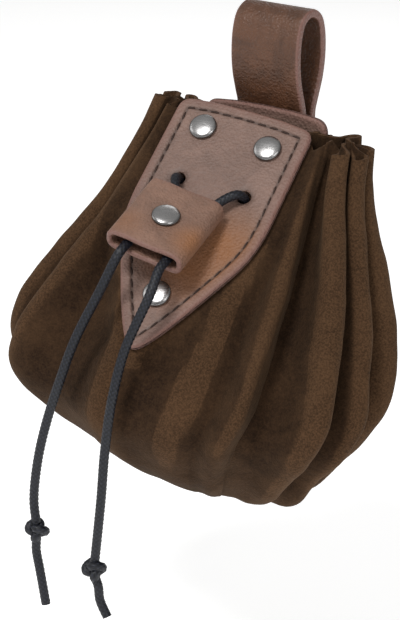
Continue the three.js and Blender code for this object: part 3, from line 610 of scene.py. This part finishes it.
def suede_bag(sizes):
    front, back, _ = plate_frames()
    columns = []
    for row in FOLDS:
        count = 12 if row[2] < 0.3 else 34 if row[0] > 35 else 24
        columns.append(np.arange(count) / count)
    levels = np.concatenate([np.linspace(0, 0.2, 26), np.linspace(0.2, 0.96, 76)[1:], [0.972, 0.983, 0.992]])
    grid = np.stack([suede_row(down, columns, sizes, front, back) for down in levels])
    rows, around = grid.shape[:2]
    for middle, shift, reach in SETTLES:
        away = np.linalg.norm(grid - np.array(middle) * MM, axis=2, keepdims=True)
        grid = grid + np.array(shift) * MM * np.exp(-((away / (reach * MM)) ** 2))
    pole = section_at(1.0)
    last = np.array((pole["side"] * sizes.bag_width / 2, pole["back"] * sizes.bag_depth,
                     -sizes.rim_drop - sizes.bag_height))
    along = np.roll(grid, -1, 1) - np.roll(grid, 1, 1)
    lower = np.concatenate([grid[1:], np.broadcast_to(last, (1, around, 3))])
    upper = np.concatenate([grid[:1], grid[:-1]])
    normal = np.cross(lower - upper, along)
    normal /= np.maximum(np.linalg.norm(normal, axis=2, keepdims=True), 1e-12)
    # Rubbed ridges and painted shade: above zero where the suede stands out from its neighbours, lightened as
    # rubbed wear; below zero in the valleys between folds, darkened as painted shade
    stand = np.zeros((rows, around))
    for reach in (1, 2, 3, 4):
        mean = (np.roll(grid, reach, 1) + np.roll(grid, -reach, 1)) / 2
        stand += ((grid - mean) * normal).sum(2)
    rub_and_crease_shade = np.clip(stand / (2.2 * MM), -0.6, 1.0)
    # Small slack dents of soft suede, none where it lies under the plates
    local = moved(grid.reshape(-1, 3), front.inverted()).reshape(rows, around, 3)
    below = -local[..., 2]
    under = np.maximum(np.abs(local[..., 0]) - plate_half(below, sizes), below - sizes.plate_height)
    free = eased(under / (8 * MM)) * eased((levels[:, None] - 0.05) / 0.2)
    soft = np.zeros((rows, around))
    for j in range(rows):
        for i in range(around):
            spot = Vector(grid[j, i])
            soft[j, i] = noise.noise(spot * 55.0) * 0.75 + noise.noise(spot * 130.0) * 0.28
    grid = grid + normal * (soft * free * MM)[..., None]
    points = np.concatenate([grid.reshape(-1, 3), last[None]])
    faces = []
    local = moved(points, front.inverted())
    for face in grid_faces(rows, around, flip=False):
        middle = local[list(face)].mean(0)
        hole = min(math.hypot(middle[0] - x, middle[2] + HOLE_DROP) for x in HOLES)
        if hole < 2.6 * MM and 0 < middle[1] < 8 * MM:
            continue
        faces.append(face)
    end = rows * around
    for i in range(around):
        faces.append(((rows - 1) * around + i, end, (rows - 1) * around + (i + 1) % around))
    piece = built(
        "suede_bag", points, faces, {"rub_and_crease_shade": np.concatenate([rub_and_crease_shade.ravel(), [0.0]])},
        [kept_finish("napped_suede"), kept_finish("suede_cut_edge")], ["pouch_body"],
    )
    shell = piece.modifiers.new("thickness", "SOLIDIFY")
    shell.thickness = sizes.suede
    shell.offset = 0.0
    shell.use_even_offset = False
    shell.material_offset_rim = 1
    return settled(piece)


# Plates


def plate_loop(sizes, step):
    """The plate's outline as evenly spaced points (x, z), anticlockwise from the tip."""
    half = sizes.plate_width / 2
    right = [(share * half, (up - 1) * sizes.plate_height) for up, share in PLATE_OUTLINE[1:]]
    corner = 4.0 * MM
    for angle in np.linspace(0, np.pi / 2, 8):
        right.append((half - corner + corner * math.cos(angle), -corner + corner * math.sin(angle)))
    right.append((half * 0.5, 0.9 * MM))
    left = [(-x, z) for x, z in reversed(right)]
    points = np.array([(0.0, -sizes.plate_height), *right, (0.0, 1.2 * MM), *left])
    closed = np.vstack([points, points[:1]])
    run = np.concatenate([[0], np.cumsum(np.hypot(*np.diff(closed, axis=0).T))])
    count = int(run[-1] / step)
    at = np.arange(count) / count * run[-1]
    loop = np.stack([np.interp(at, run, closed[:, 0]), np.interp(at, run, closed[:, 1])], 1)
    for _ in range(4):
        loop = 0.5 * loop + 0.25 * (np.roll(loop, 1, 0) + np.roll(loop, -1, 0))
    return loop


def away_from(loop, points):
    """Distance of each point from a closed outline."""
    a = loop
    ab = np.roll(loop, -1, 0) - a
    best = np.full(len(points), 1e9)
    for start in range(0, len(points), 2000):
        p = points[start:start + 2000, None, :] - a[None]
        t = np.clip((p * ab).sum(2) / (ab * ab).sum(1), 0, 1)
        best[start:start + 2000] = np.hypot(*np.moveaxis(p - t[..., None] * ab, 2, 0)).min(1)
    return best


def leather_plate(name, place, thick, sizes, finish, node, stitched):
    loop = plate_loop(sizes, 0.8 * MM)
    count = len(loop)
    height = sizes.plate_height
    spine = np.stack([np.zeros(count), np.clip(loop[:, 1], -0.80 * height, -0.24 * height)], 1)
    inward = spine - loop
    reach = np.linalg.norm(inward, axis=1)
    edge = 1.1 * MM
    rings, depths = [], []
    fine = np.concatenate([[0.0, 0.1, 0.25, 0.45, 0.7, 0.95], np.arange(1.25, 7.0, 0.3)]) * MM
    shares = np.concatenate([fine / reach.mean(), np.linspace(fine[-1] / reach.mean(), 1.0, 24)[1:]])
    for share in shares:
        rings.append(loop + inward * share)
    flat = np.concatenate(rings)
    away = away_from(loop, flat)
    away[:count] = 0.0
    # Rounded edge, raised border, sunken stitch line, field set a little lower
    rounded = np.where(away < edge, edge - np.sqrt(np.maximum(edge ** 2 - (edge - away) ** 2, 0)), 0.0)
    inset = sizes.stitch_inset
    groove = np.exp(-((away - inset) / (0.55 * MM)) ** 2) if stitched else np.zeros_like(away)
    border = 0.35 * MM * (1 - eased((away - inset) / (1.2 * MM))) if stitched else 0.0
    outer = rounded + 0.55 * MM * groove + (0.35 * MM if stitched else 0.0) - border
    holes = np.zeros_like(away)
    if stitched:
        for x in HOLES:
            ring = np.hypot(flat[:, 0] - x, flat[:, 1] + HOLE_DROP)
            holes = np.maximum(holes, np.exp(-np.maximum(ring - 2.6 * MM, 0) / (0.8 * MM)))
        for x, down in ((-12.85, 10.14), (12.85, 11.6), (0.0, 75.35)):
            ring = np.hypot(flat[:, 0] - x * MM, flat[:, 1] + down * MM)
            outer = outer + 0.18 * MM * np.exp(-(ring / (6.5 * MM)) ** 4)
    outer = outer + holes * 0.55 * MM
    inner = thick - rounded * 0.8
    front_side = np.stack([flat[:, 0], outer, flat[:, 1]], 1)
    back_side = np.stack([flat[:, 0], inner, flat[:, 1]], 1)
    rows = len(shares)
    points = np.concatenate([front_side, back_side])
    faces = grid_faces(rows, count, flip=True)
    total = rows * count
    faces += [tuple(total + v for v in face[::-1]) for face in grid_faces(rows, count, flip=True)]
    for i in range(count):
        n = (i + 1) % count
        faces.append((i, n, total + n, total + i))
    edges = 1 - eased(away / (1.7 * MM))
    glow = np.clip(edges + 0.35 * np.exp(-((away - 1.9 * MM) / (1.0 * MM)) ** 2), 0, 1)
    # Painted shade for the finish: the stitch groove and the dished leather round the cord holes
    shade = np.maximum(groove * 0.85, holes * 0.8)
    values = {"edge": np.concatenate([glow, edges]), "groove": np.concatenate([shade, np.zeros(total)])}
    piece = built(name, moved(points, place), faces, values, [finish], [node])
    weld = piece.modifiers.new("weld", "WELD")
    weld.merge_threshold = 0.02 * MM
    settled(piece)
    if stitched:
        cutters = []
        for x in HOLES:
            bpy.ops.mesh.primitive_cylinder_add(vertices=40, radius=2.5 * MM, depth=16 * MM)
            cutter = bpy.context.active_object
            spot = Matrix.Translation((x, 0, -HOLE_DROP))
            cutter.matrix_world = place @ spot @ Matrix.Rotation(math.pi / 2, 4, "X")
            cutters.append(cutter)
            cut = piece.modifiers.new("cord_hole", "BOOLEAN")
            cut.object = cutter
            cut.solver = "EXACT"
        bpy.context.view_layer.update()
        settled(piece)
        for cutter in cutters:
            bpy.data.objects.remove(cutter)
    return piece


def stitch_line(sizes):
    """Inset outline that the stitches follow, as (x, z) points."""
    loop = plate_loop(sizes, 0.4 * MM)
    ahead = np.roll(loop, -1, 0) - np.roll(loop, 1, 0)
    ahead /= np.linalg.norm(ahead, axis=1, keepdims=True)
    inner = loop + np.stack([-ahead[:, 1], ahead[:, 0]], 1) * sizes.stitch_inset
    keep = away_from(loop, inner) > sizes.stitch_inset * 0.97
    return inner[keep]


def stitching(name, place, sizes):
    line = stitch_line(sizes)
    closed = np.vstack([line, line[:1]])
    run = np.concatenate([[0], np.cumsum(np.hypot(*np.diff(closed, axis=0).T))])
    count = int(round(run[-1] / sizes.stitch_pitch))
    pitch = run[-1] / count
    sides, steps = 8, 8
    points, faces = [], []
    for index in range(count):
        here = (index + 0.09 + np.linspace(0, 0.82, steps)) * pitch
        x = np.interp(here, run, closed[:, 0])
        z = np.interp(here, run, closed[:, 1])
        t = np.linspace(0, 1, steps)
        bow = np.sin(np.pi * t) ** 0.5
        radius = 0.40 * MM * (0.45 + 0.55 * bow)
        depth = 0.85 * MM - 0.42 * MM * bow
        ahead = np.stack([np.gradient(x), np.gradient(z)], 1)
        ahead /= np.linalg.norm(ahead, axis=1, keepdims=True)
        lean = 0.18 * MM * (t - 0.5) * 2
        side = np.stack([-ahead[:, 1], ahead[:, 0]], 1)
        base = len(points)
        for k in range(steps):
            for m in range(sides):
                angle = 2 * np.pi * m / sides
                off = side[k] * (radius[k] * math.cos(angle) + lean[k])
                points.append((x[k] + off[0], depth[k] - radius[k] * math.sin(angle), z[k] + off[1]))
        for k in range(steps - 1):
            for m in range(sides):
                n = (m + 1) % sides
                a, b = base + k * sides, base + (k + 1) * sides
                faces.append((a + m, a + n, b + n, b + m))
        faces.append(tuple(base + m for m in reversed(range(sides))))
        faces.append(tuple(base + (steps - 1) * sides + m for m in range(sides)))
    return built(name, moved(np.array(points), place), faces, None, [kept_finish("waxed_thread")])


# Rivets


def rivet_cap(name, place, x, down, outward, node, sizes):
    """Low domed cap with a rolled rim."""
    r, h = sizes.cap_radius, sizes.cap_height
    t = np.linspace(0, 1, 22)
    radius = np.concatenate([r * 0.94 * t, [r * 0.975, r * 0.995, r, r * 0.985, r * 0.95, r * 0.6]])
    dome = h * (0.30 + 0.70 * np.sqrt(np.maximum(1 - (t * 0.96) ** 2.2, 0)))
    height = np.concatenate([dome, [h * 0.40, h * 0.30, h * 0.19, h * 0.07, 0.0, 0.0]])
    # Marks for painted shade: rising near the dome's edge, full on the rolled rim
    rim = np.concatenate([eased((t - 0.86) / 0.14) * 0.7, [1, 1, 1, 1, 1, 1]])
    sides = 56
    points, marks = [], []
    for a, b, mark in zip(radius, height, rim):
        for k in range(sides):
            angle = 2 * np.pi * k / sides
            points.append((x + a * math.cos(angle), outward * (GAP * 0.6 + b), -down + a * math.sin(angle)))
            marks.append(mark)
    faces = grid_faces(len(radius), sides, flip=outward > 0)
    piece = built(
        name, moved(np.array(points), place), faces, {"rim": marks},
        [kept_finish("polished_steel")], [node],
    )
    weld = piece.modifiers.new("weld", "WELD")
    weld.merge_threshold = 0.005 * MM
    return settled(piece)


# Straps and slider


def corners(x, y):
    """Centres of a rectangle's four rounded corners, with the angle at which each begins."""
    return ((x, y, 0), (-x, y, 90), (-x, -y, 180), (x, -y, 270))


def band_profile(width, thick, edge):
    """Cross-section of a strap: (across, through) points of a rectangle with rounded edges."""
    points = []
    w, h = width / 2, thick / 2
    for cx, cy, start in corners(w - edge, h - edge):
        for angle in np.radians(np.linspace(start, start + 90, 6)):
            points.append((cx + edge * math.cos(angle), cy + edge * math.sin(angle)))
        if start in (0, 180):
            sign = 1 if start == 0 else -1
            for share in np.linspace(1, -1, 17)[1:-1]:
                points.append((sign * share * (w - edge), sign * h))
    return np.array(points)


def catmull(points, spacing):
    """Centripetal spline through the points, sampled evenly."""
    p = np.asarray(points, float)
    p = np.vstack([2 * p[0] - p[1], p, 2 * p[-1] - p[-2]])
    dense = []
    for i in range(1, len(p) - 2):
        d = [max(np.linalg.norm(p[i + k] - p[i + k - 1]) ** 0.5, 1e-6) for k in (0, 1, 2)]
        before, here, there, after = p[i - 1:i + 3]
        middle = (there - here) / d[1]
        m1 = ((here - before) / d[0] - (there - before) / (d[0] + d[1]) + middle) * d[1]
        m2 = (middle - (after - here) / (d[1] + d[2]) + (after - there) / d[2]) * d[1]
        for t in np.arange(40) / 40:
            t2, t3 = t * t, t * t * t
            start = (2 * t3 - 3 * t2 + 1) * here + (t3 - 2 * t2 + t) * m1
            dense.append(start + (3 * t2 - 2 * t3) * there + (t3 - t2) * m2)
    dense.append(p[-2])
    dense = np.array(dense)
    run = np.concatenate([[0], np.cumsum(np.linalg.norm(np.diff(dense, axis=0), axis=1))])
    count = max(4, int(round(run[-1] / spacing)))
    at = np.linspace(0, run[-1], count + 1)
    return np.stack([np.interp(at, run, dense[:, k]) for k in range(3)], 1)


def belt_loop(sizes, finish):
    """Strap that goes up in front of the belt, over the top and down behind it."""
    drop_all = sizes.strap_drop
    wide = (sizes.loop_depth - sizes.strap_thick) / 2
    neck = (sizes.loop_neck - sizes.strap_thick) / 2
    neck_drop = 0.55 * drop_all
    going_up, coming_down = [], []
    for share, bow in LOOP_PATH:
        drop = share * drop_all
        half = neck + (wide - neck) * bow
        middle = max(drop - neck_drop, 0) * math.tan(math.radians(BACK_SLOPE))
        squeeze = float(eased((drop - neck_drop) / (12 * MM))) * (neck - sizes.strap_thick / 2 - GAP)
        going_up.append((0.0, middle - half, -drop))
        coming_down.append((0.0, middle + half - 2 * squeeze, -drop))
    path = catmull(going_up + [(0.0, 0.0, sizes.strap_thick / 2)] + coming_down[::-1], 1.0 * MM)
    along = np.gradient(path, axis=0)
    along /= np.linalg.norm(along, axis=1, keepdims=True)
    through = np.cross(along, (1.0, 0.0, 0.0))
    profile = band_profile(sizes.strap_width, sizes.strap_thick, 0.85 * MM)
    count = len(profile)
    rows = len(path)
    sway = np.array([noise.noise(Vector(p) * 60.0) for p in path]) * 0.25 * MM
    across = profile[None, :, 0, None] * np.array((1.0, 0, 0))
    points = path[:, None, :] + across + profile[None, :, 1, None] * through[:, None, :]
    points[..., 0] += sway[:, None]
    faces = grid_faces(rows, count, flip=False)
    faces.append(tuple(range(count)))
    faces.append(tuple((rows - 1) * count + k for k in reversed(range(count))))
    sideways = eased((np.abs(profile[:, 0]) - (sizes.strap_width / 2 - 1.0 * MM)) / (0.7 * MM))
    edge = np.tile(sideways, rows)
    values = {"edge": edge, "groove": edge * 0}
    points = points.reshape(-1, 3)
    return built("belt_loop_strap", points, faces, values, [finish], ["belt_loop"])


def cord_slider(place, sizes, finish):
    """Leather band folded round both cords and held by its rivet."""
    wall, room = sizes.slider_wall, sizes.slider_room
    w, h = (sizes.slider_width - wall) / 2, (room + wall) / 2
    corner = 2.4 * MM
    line = []
    for cx, cy, start in corners(w - corner, h - corner):
        for angle in np.radians(np.linspace(start, start + 90, 9)):
            line.append((cx + corner * math.cos(angle), cy + corner * math.sin(angle)))
        if start in (0, 180):
            sign = 1 if start == 0 else -1
            for share in np.linspace(1, -1, 26)[1:-1]:
                line.append((sign * share * (w - corner), sign * h))
    line = np.array(line)
    ahead = np.roll(line, -1, 0) - np.roll(line, 1, 0)
    ahead /= np.linalg.norm(ahead, axis=1, keepdims=True)
    outward = np.stack([ahead[:, 1], -ahead[:, 0]], 1)
    profile = band_profile(sizes.slider_length, wall, 0.75 * MM)
    total_height = room + 2 * wall
    points, edge = [], []
    for (x, y), (nx, ny) in zip(line, outward):
        for z, t in profile:
            px = x + nx * t
            py = y + ny * t + total_height / 2
            if y < 0:
                dent = 0.45 * MM * math.exp(-((x / (6.0 * MM)) ** 2 + (z / (7.0 * MM)) ** 2))
                swell = sum(
                    0.35 * MM * math.exp(-(((x - cord_at * MM) / (3.5 * MM)) ** 2)) for cord_at in (-7.0, 8.4)
                )
                py += dent - swell * (abs(z) / (sizes.slider_length / 2)) ** 2
            points.append((px, py, z))
            edge.append(eased((abs(z) - (sizes.slider_length / 2 - 1.0 * MM)) / (0.8 * MM)))
    faces = grid_faces(len(line), len(profile), wrap_rows=True, flip=False)
    values = {"edge": edge, "groove": np.zeros(len(points))}
    points = moved(np.array(points), place)
    return built("leather_cord_slider", points, faces, values, [finish], ["cord_slider"])


# Cords


def in_frame(place, rows):
    return [np.array(place @ (Vector(row) * MM)) for row in rows]


def hanging(rows, sizes):
    scale = np.array((sizes.bag_width / 2, -sizes.bag_depth, -sizes.bag_height))
    return [np.array(row) * scale for row in rows]


def cord_routes(sizes):
    """Middle lines of the left, right and inner cords, the same points as the part's solids."""
    front, _, slider = plate_frames()
    # Millimetres in the plate's and slider's frames: behind the suede, and the middle of the slider's room
    spread, drop, behind, mid = HOLE_SIDE / MM, HOLE_DROP / MM, 5.8, 4.15
    left = in_frame(front, [
        (-spread, behind, -drop), (-spread, 0.6, -drop - 0.2),
        (-spread + 0.7, -3.0, -drop - 1.9), (-10.4, -4.6, -36.2),
    ])
    left += in_frame(slider, [(-5.2, mid, 14.8), (-6.3, mid, 0), (-6.7, mid, -14), (-6.9, mid + 0.3, -19)])
    left += hanging(HANG_LEFT, sizes)
    right = in_frame(front, [
        (spread, behind, -drop), (spread, 0.6, -drop - 0.2),
        (spread - 1.3, -2.8, -drop - 1.5), (8.7, -3.8, -36.3),
    ])
    right += in_frame(slider, [(9.2, mid, 13.4), (8.4, mid, 0), (8.3, mid, -14), (8.3, mid + 0.3, -19)])
    right += hanging(HANG_RIGHT, sizes)
    inner = in_frame(front, [(-spread, behind + 0.9, -drop), (-spread - 0.6, behind + 2.4, -drop - 0.3)])
    inner += hanging(INNER_RUN, sizes)
    inner += in_frame(front, [(spread + 0.6, behind + 2.4, -drop - 0.3), (spread, behind + 0.9, -drop)])
    return left, right, inner


def braided(name, route, radius, node, closed=False, sides=32, spacing=0.32 * MM):
    """A braided tube along a smooth route; crowns of the strands are marked for the finish's painted
    highlight.
    """
    path = np.asarray(route) if closed else catmull(route, spacing)
    rows = len(path)
    ahead = np.roll(path, -1, 0) - np.roll(path, 1, 0) if closed else np.gradient(path, axis=0)
    ahead /= np.linalg.norm(ahead, axis=1, keepdims=True)
    normal = np.cross(ahead[0], (0.31, 0.77, 0.55))
    frames = []
    for direction in ahead:
        normal = normal - direction * normal.dot(direction)
        normal = normal / np.linalg.norm(normal)
        frames.append((normal, np.cross(direction, normal)))
    run = np.concatenate([[0], np.cumsum(np.linalg.norm(np.diff(path, axis=0), axis=1))])
    strands, lead = 6, 10.0 * MM
    points, crowns = [], []
    for k in range(rows):
        for m in range(sides):
            turn = m / sides
            a = strands * (turn + run[k] / lead)
            b = strands * (turn - run[k] / lead)
            over = (math.floor(a) + math.floor(b)) % 2 == 0
            mine, other = (a, b) if over else (b, a)
            across = 1 - (2 * abs(mine - math.floor(mine) - 0.5)) ** 2.5
            ends = 1 - (2 * abs(other - math.floor(other) - 0.5)) ** 3
            crown = across * (0.45 + 0.55 * ends)
            r = radius * (0.85 + 0.17 * crown)
            angle = 2 * math.pi * turn
            p = path[k] + frames[k][0] * (r * math.cos(angle)) + frames[k][1] * (r * math.sin(angle))
            points.append(p)
            crowns.append(crown)
    faces = grid_faces(rows, sides, wrap_rows=closed, flip=True)
    if not closed:
        faces.append(tuple(range(sides)))
        faces.append(tuple((rows - 1) * sides + k for k in reversed(range(sides))))
    piece = built(name, np.array(points), faces, {"crown": crowns}, [kept_finish("waxed_cord")], [node])
    return piece, path


def overhand_knot(name, row, tilt, node, sizes):
    """Tight overhand knot: the cord's three crossing turns."""
    centre = hanging([row], sizes)[0]
    radius = sizes.cord / 2
    ring = (sizes.knot_width / 2 - radius) / 3
    t = np.linspace(0, 2 * np.pi, 110, endpoint=False)
    x = ring * (np.sin(t) + 2 * np.sin(2 * t))
    y = ring * 1.9 * np.sin(3 * t)
    z = ring * (np.cos(t) - 2 * np.cos(2 * t))
    turn = Matrix.Rotation(math.radians(tilt), 3, "Y")
    line = np.array([np.array(turn @ Vector(p)) for p in zip(x, y, z)]) + centre
    piece, _ = braided(name, line, radius * 0.98, node, closed=True, sides=28)
    return piece


# Operators


class PouchOperator:
    bl_options = {"REGISTER", "UNDO"}

    @staticmethod
    def sizes(context):
        return context.scene.pouch_sizes

    @staticmethod
    def colours(context):
        return context.scene.pouch_colours


class POUCH_OT_finishes(PouchOperator, bpy.types.Operator):
    """Make the suede, leather, thread, cord and steel finishes."""

    bl_idname = "pouch.finishes"
    bl_label = "Finishes"

    def execute(self, context):
        colours = self.colours(context)
        suede_finish(colours)
        suede_edge_finish(colours)
        edge = tuple(colours.edge)
        front = plate_frames()[0]
        places = [
            (tuple(front @ (Vector((14.0, 0, -52.0)) * MM)), 0.022, 1.1),
            (tuple(front @ (Vector((6.0, 0, -66.0)) * MM)), 0.018, 0.9),
            (tuple(front @ (Vector((-8.0, 0, -62.0)) * MM)), 0.012, 0.5),
        ]
        warm = {"colour": tuple(colours.plate_warm), "places": places}
        leather_finish("plate_leather", tuple(colours.plate), edge, warm, 0.30, 0.56)
        slider = plate_frames()[2]
        places = [
            (tuple(slider @ (Vector((13.0, 0, -6.0)) * MM)), 0.011, 0.9),
            (tuple(slider @ (Vector((-10.0, 0, -9.0)) * MM)), 0.010, 0.45),
        ]
        warm = {"colour": tuple(colours.plate_warm), "places": places}
        leather_finish("slider_leather", tuple(colours.slider), edge, warm, 0.35, 0.54)
        leather_finish("strap_leather", tuple(colours.strap), edge, None, 0.85, 0.44)
        thread_finish(colours)
        cord_finish(colours)
        steel_finish(colours)
        return {"FINISHED"}


class POUCH_OT_stage(PouchOperator, bpy.types.Operator):
    """Add the camera, the soft studio light and the pale floor."""

    bl_idname = "pouch.stage"
    bl_label = "Stage"

    def execute(self, context):
        scene = context.scene
        right = Vector((0.80432434, 0.59381961, 0.02099119))
        up = Vector((-0.21905634, 0.26350091, 0.93945814))
        toward = Vector((0.55233746, -0.7602273, 0.34202014))
        lens = bpy.data.cameras.new("camera")
        lens.lens = 116.0
        lens.sensor_width = 36.0
        lens.clip_start = 0.01
        lens.clip_end = 50.0
        camera = bpy.data.objects.new("camera", lens)
        scene.collection.objects.link(camera)
        target = (right * -27.9 + up * -104.3) * MM
        place = Matrix((right, up, toward)).transposed().to_4x4()
        place.translation = target + toward * 0.7
        camera.matrix_world = place
        scene.camera = camera
        lights = (
            ("key", (0.05, -0.75, 0.85), 0.32, 8.5),
            ("side", (0.85, -0.45, 0.45), 0.4, 2.2),
            ("left", (-0.8, -0.5, 0.35), 0.5, 1.2),
            ("back", (-0.3, 0.9, 0.6), 0.7, 2.0),
        )
        for name, spot, size, power in lights:
            lamp = bpy.data.lights.new(name, "AREA")
            lamp.size = size
            lamp.energy = power
            light = bpy.data.objects.new(name, lamp)
            light.location = spot
            toward_bag = Vector((0, -0.04, -0.09)) - Vector(spot)
            light.rotation_euler = toward_bag.to_track_quat("-Z", "Y").to_euler()
            scene.collection.objects.link(light)
        world = bpy.data.worlds.new("studio")
        world.use_nodes = True
        world.node_tree.nodes["Background"].inputs["Color"].default_value = (1.0, 1.0, 1.0, 1.0)
        world.node_tree.nodes["Background"].inputs["Strength"].default_value = 0.34
        scene.world = world
        scene.view_settings.view_transform = "Standard"
        span = 6.0
        corners = [(-span, -span, -0.245), (span, -span, -0.245), (span, span, -0.245), (-span, span, -0.245)]
        mesh = bpy.data.meshes.new("floor")
        mesh.from_pydata(corners, [], [(0, 1, 2, 3)])
        mesh.materials.append(floor_finish(self.colours(context)))
        floor = bpy.data.objects.new("floor", mesh)
        scene.collection.objects.link(floor)
        return {"FINISHED"}


class POUCH_OT_cords(PouchOperator, bpy.types.Operator):
    """Build the waxed drawcord: two hanging ends with their knots and tails, and the hidden run."""

    bl_idname = "pouch.cords"
    bl_label = "Cords"

    def execute(self, context):
        sizes = self.sizes(context)
        radius = sizes.cord / 2
        left, right, inner = cord_routes(sizes)
        braided("drawcord_inside", inner, radius * 0.97, "cord_inner", spacing=0.5 * MM)
        for side, route, tail_rows, knot_row, tilt in (
            ("left", left, TAIL_LEFT, KNOT_LEFT, 14), ("right", right, TAIL_RIGHT, KNOT_RIGHT, -10)
        ):
            run, path = braided("drawcord_" + side, route, radius, "cord_" + side)
            knot = overhand_knot("overhand_knot_" + side, knot_row, tilt, "knot_" + side, sizes)
            tail, _ = braided("cord_tail_" + side, hanging(tail_rows, sizes), radius, "tail_" + side)
        return {"FINISHED"}


class POUCH_OT_bag(PouchOperator, bpy.types.Operator):
    """Build the gathered suede bag."""

    bl_idname = "pouch.bag"
    bl_label = "Suede bag"

    def execute(self, context):
        suede_bag(self.sizes(context))
        return {"FINISHED"}


class POUCH_OT_plates(PouchOperator, bpy.types.Operator):
    """Build the front and back leather plates with their stitching."""

    bl_idname = "pouch.plates"
    bl_label = "Plates"

    def execute(self, context):
        sizes = self.sizes(context)
        front, back, _ = plate_frames()
        leather = kept_finish("plate_leather")
        leather_plate("shield_plate_front", front, sizes.plate_thick, sizes, leather, "front_plate", True)
        leather_plate("shield_plate_back", back, sizes.back_thick, sizes, leather, "back_plate", False)
        stitching("front_stitching", front, sizes)
        return {"FINISHED"}


class POUCH_OT_loop(PouchOperator, bpy.types.Operator):
    """Build the belt loop."""

    bl_idname = "pouch.belt_loop"
    bl_label = "Belt loop"

    def execute(self, context):
        belt_loop(self.sizes(context), kept_finish("strap_leather"))
        return {"FINISHED"}


class POUCH_OT_slider(PouchOperator, bpy.types.Operator):
    """Build the leather slider on the cords."""

    bl_idname = "pouch.slider"
    bl_label = "Cord slider"

    def execute(self, context):
        cord_slider(plate_frames()[2], self.sizes(context), kept_finish("slider_leather"))
        return {"FINISHED"}


class POUCH_OT_rivets(PouchOperator, bpy.types.Operator):
    """Build the rivet caps."""

    bl_idname = "pouch.rivets"
    bl_label = "Rivets"

    def execute(self, context):
        sizes = self.sizes(context)
        front, back, slider = plate_frames()
        for name, x, down in (("top_left", -0.25, 0.105), ("top_right", 0.25, 0.12), ("lower", 0.0, 0.78)):
            spot = (x * sizes.plate_width, down * sizes.plate_height)
            rivet_cap("cap_" + name, front, *spot, -1, "rivet_" + name, sizes)
        rivet_cap("cap_slider", slider, 0.0, 0.0, -1, "rivet_slider", sizes)
        behind = back @ Matrix.Translation((0, 2 * (sizes.strap_thick + GAP) + sizes.back_thick + GAP, 0))
        for name, x in (("left", -0.17), ("right", 0.17)):
            spot = (x * sizes.plate_width, 0.22 * sizes.plate_height)
            rivet_cap("cap_back_" + name, behind, *spot, 1, "rivet_back_" + name, sizes)
        return {"FINISHED"}


class POUCH_PT_panel(bpy.types.Panel):
    """Pouch pieces in the sidebar."""

    bl_label = "Belt pouch"
    bl_idname = "POUCH_PT_panel"
    bl_space_type = "VIEW_3D"
    bl_region_type = "UI"
    bl_category = "Pouch"

    def draw(self, context):
        for operator in STEPS:
            self.layout.operator(operator.bl_idname)
        for key in PouchSizes.__annotations__:
            self.layout.prop(context.scene.pouch_sizes, key)
        for key in PouchColours.__annotations__:
            self.layout.prop(context.scene.pouch_colours, key)


STEPS = (
    POUCH_OT_finishes, POUCH_OT_stage, POUCH_OT_cords, POUCH_OT_bag, POUCH_OT_plates,
    POUCH_OT_loop, POUCH_OT_slider, POUCH_OT_rivets,
)
CLASSES = (PouchSizes, PouchColours, *STEPS, POUCH_PT_panel)


def register():
    for made in CLASSES:
        bpy.utils.register_class(made)
    bpy.types.Scene.pouch_sizes = bpy.props.PointerProperty(type=PouchSizes)
    bpy.types.Scene.pouch_colours = bpy.props.PointerProperty(type=PouchColours)


def unregister():
    del bpy.types.Scene.pouch_sizes
    del bpy.types.Scene.pouch_colours
    for made in reversed(CLASSES):
        bpy.utils.unregister_class(made)


def main():
    register()
    bpy.ops.pouch.finishes()
    bpy.ops.pouch.stage()
    bpy.ops.pouch.cords()
    bpy.ops.pouch.bag()
    bpy.ops.pouch.plates()
    bpy.ops.pouch.belt_loop()
    bpy.ops.pouch.slider()
    bpy.ops.pouch.rivets()


if __name__ == "__main__":
    main()
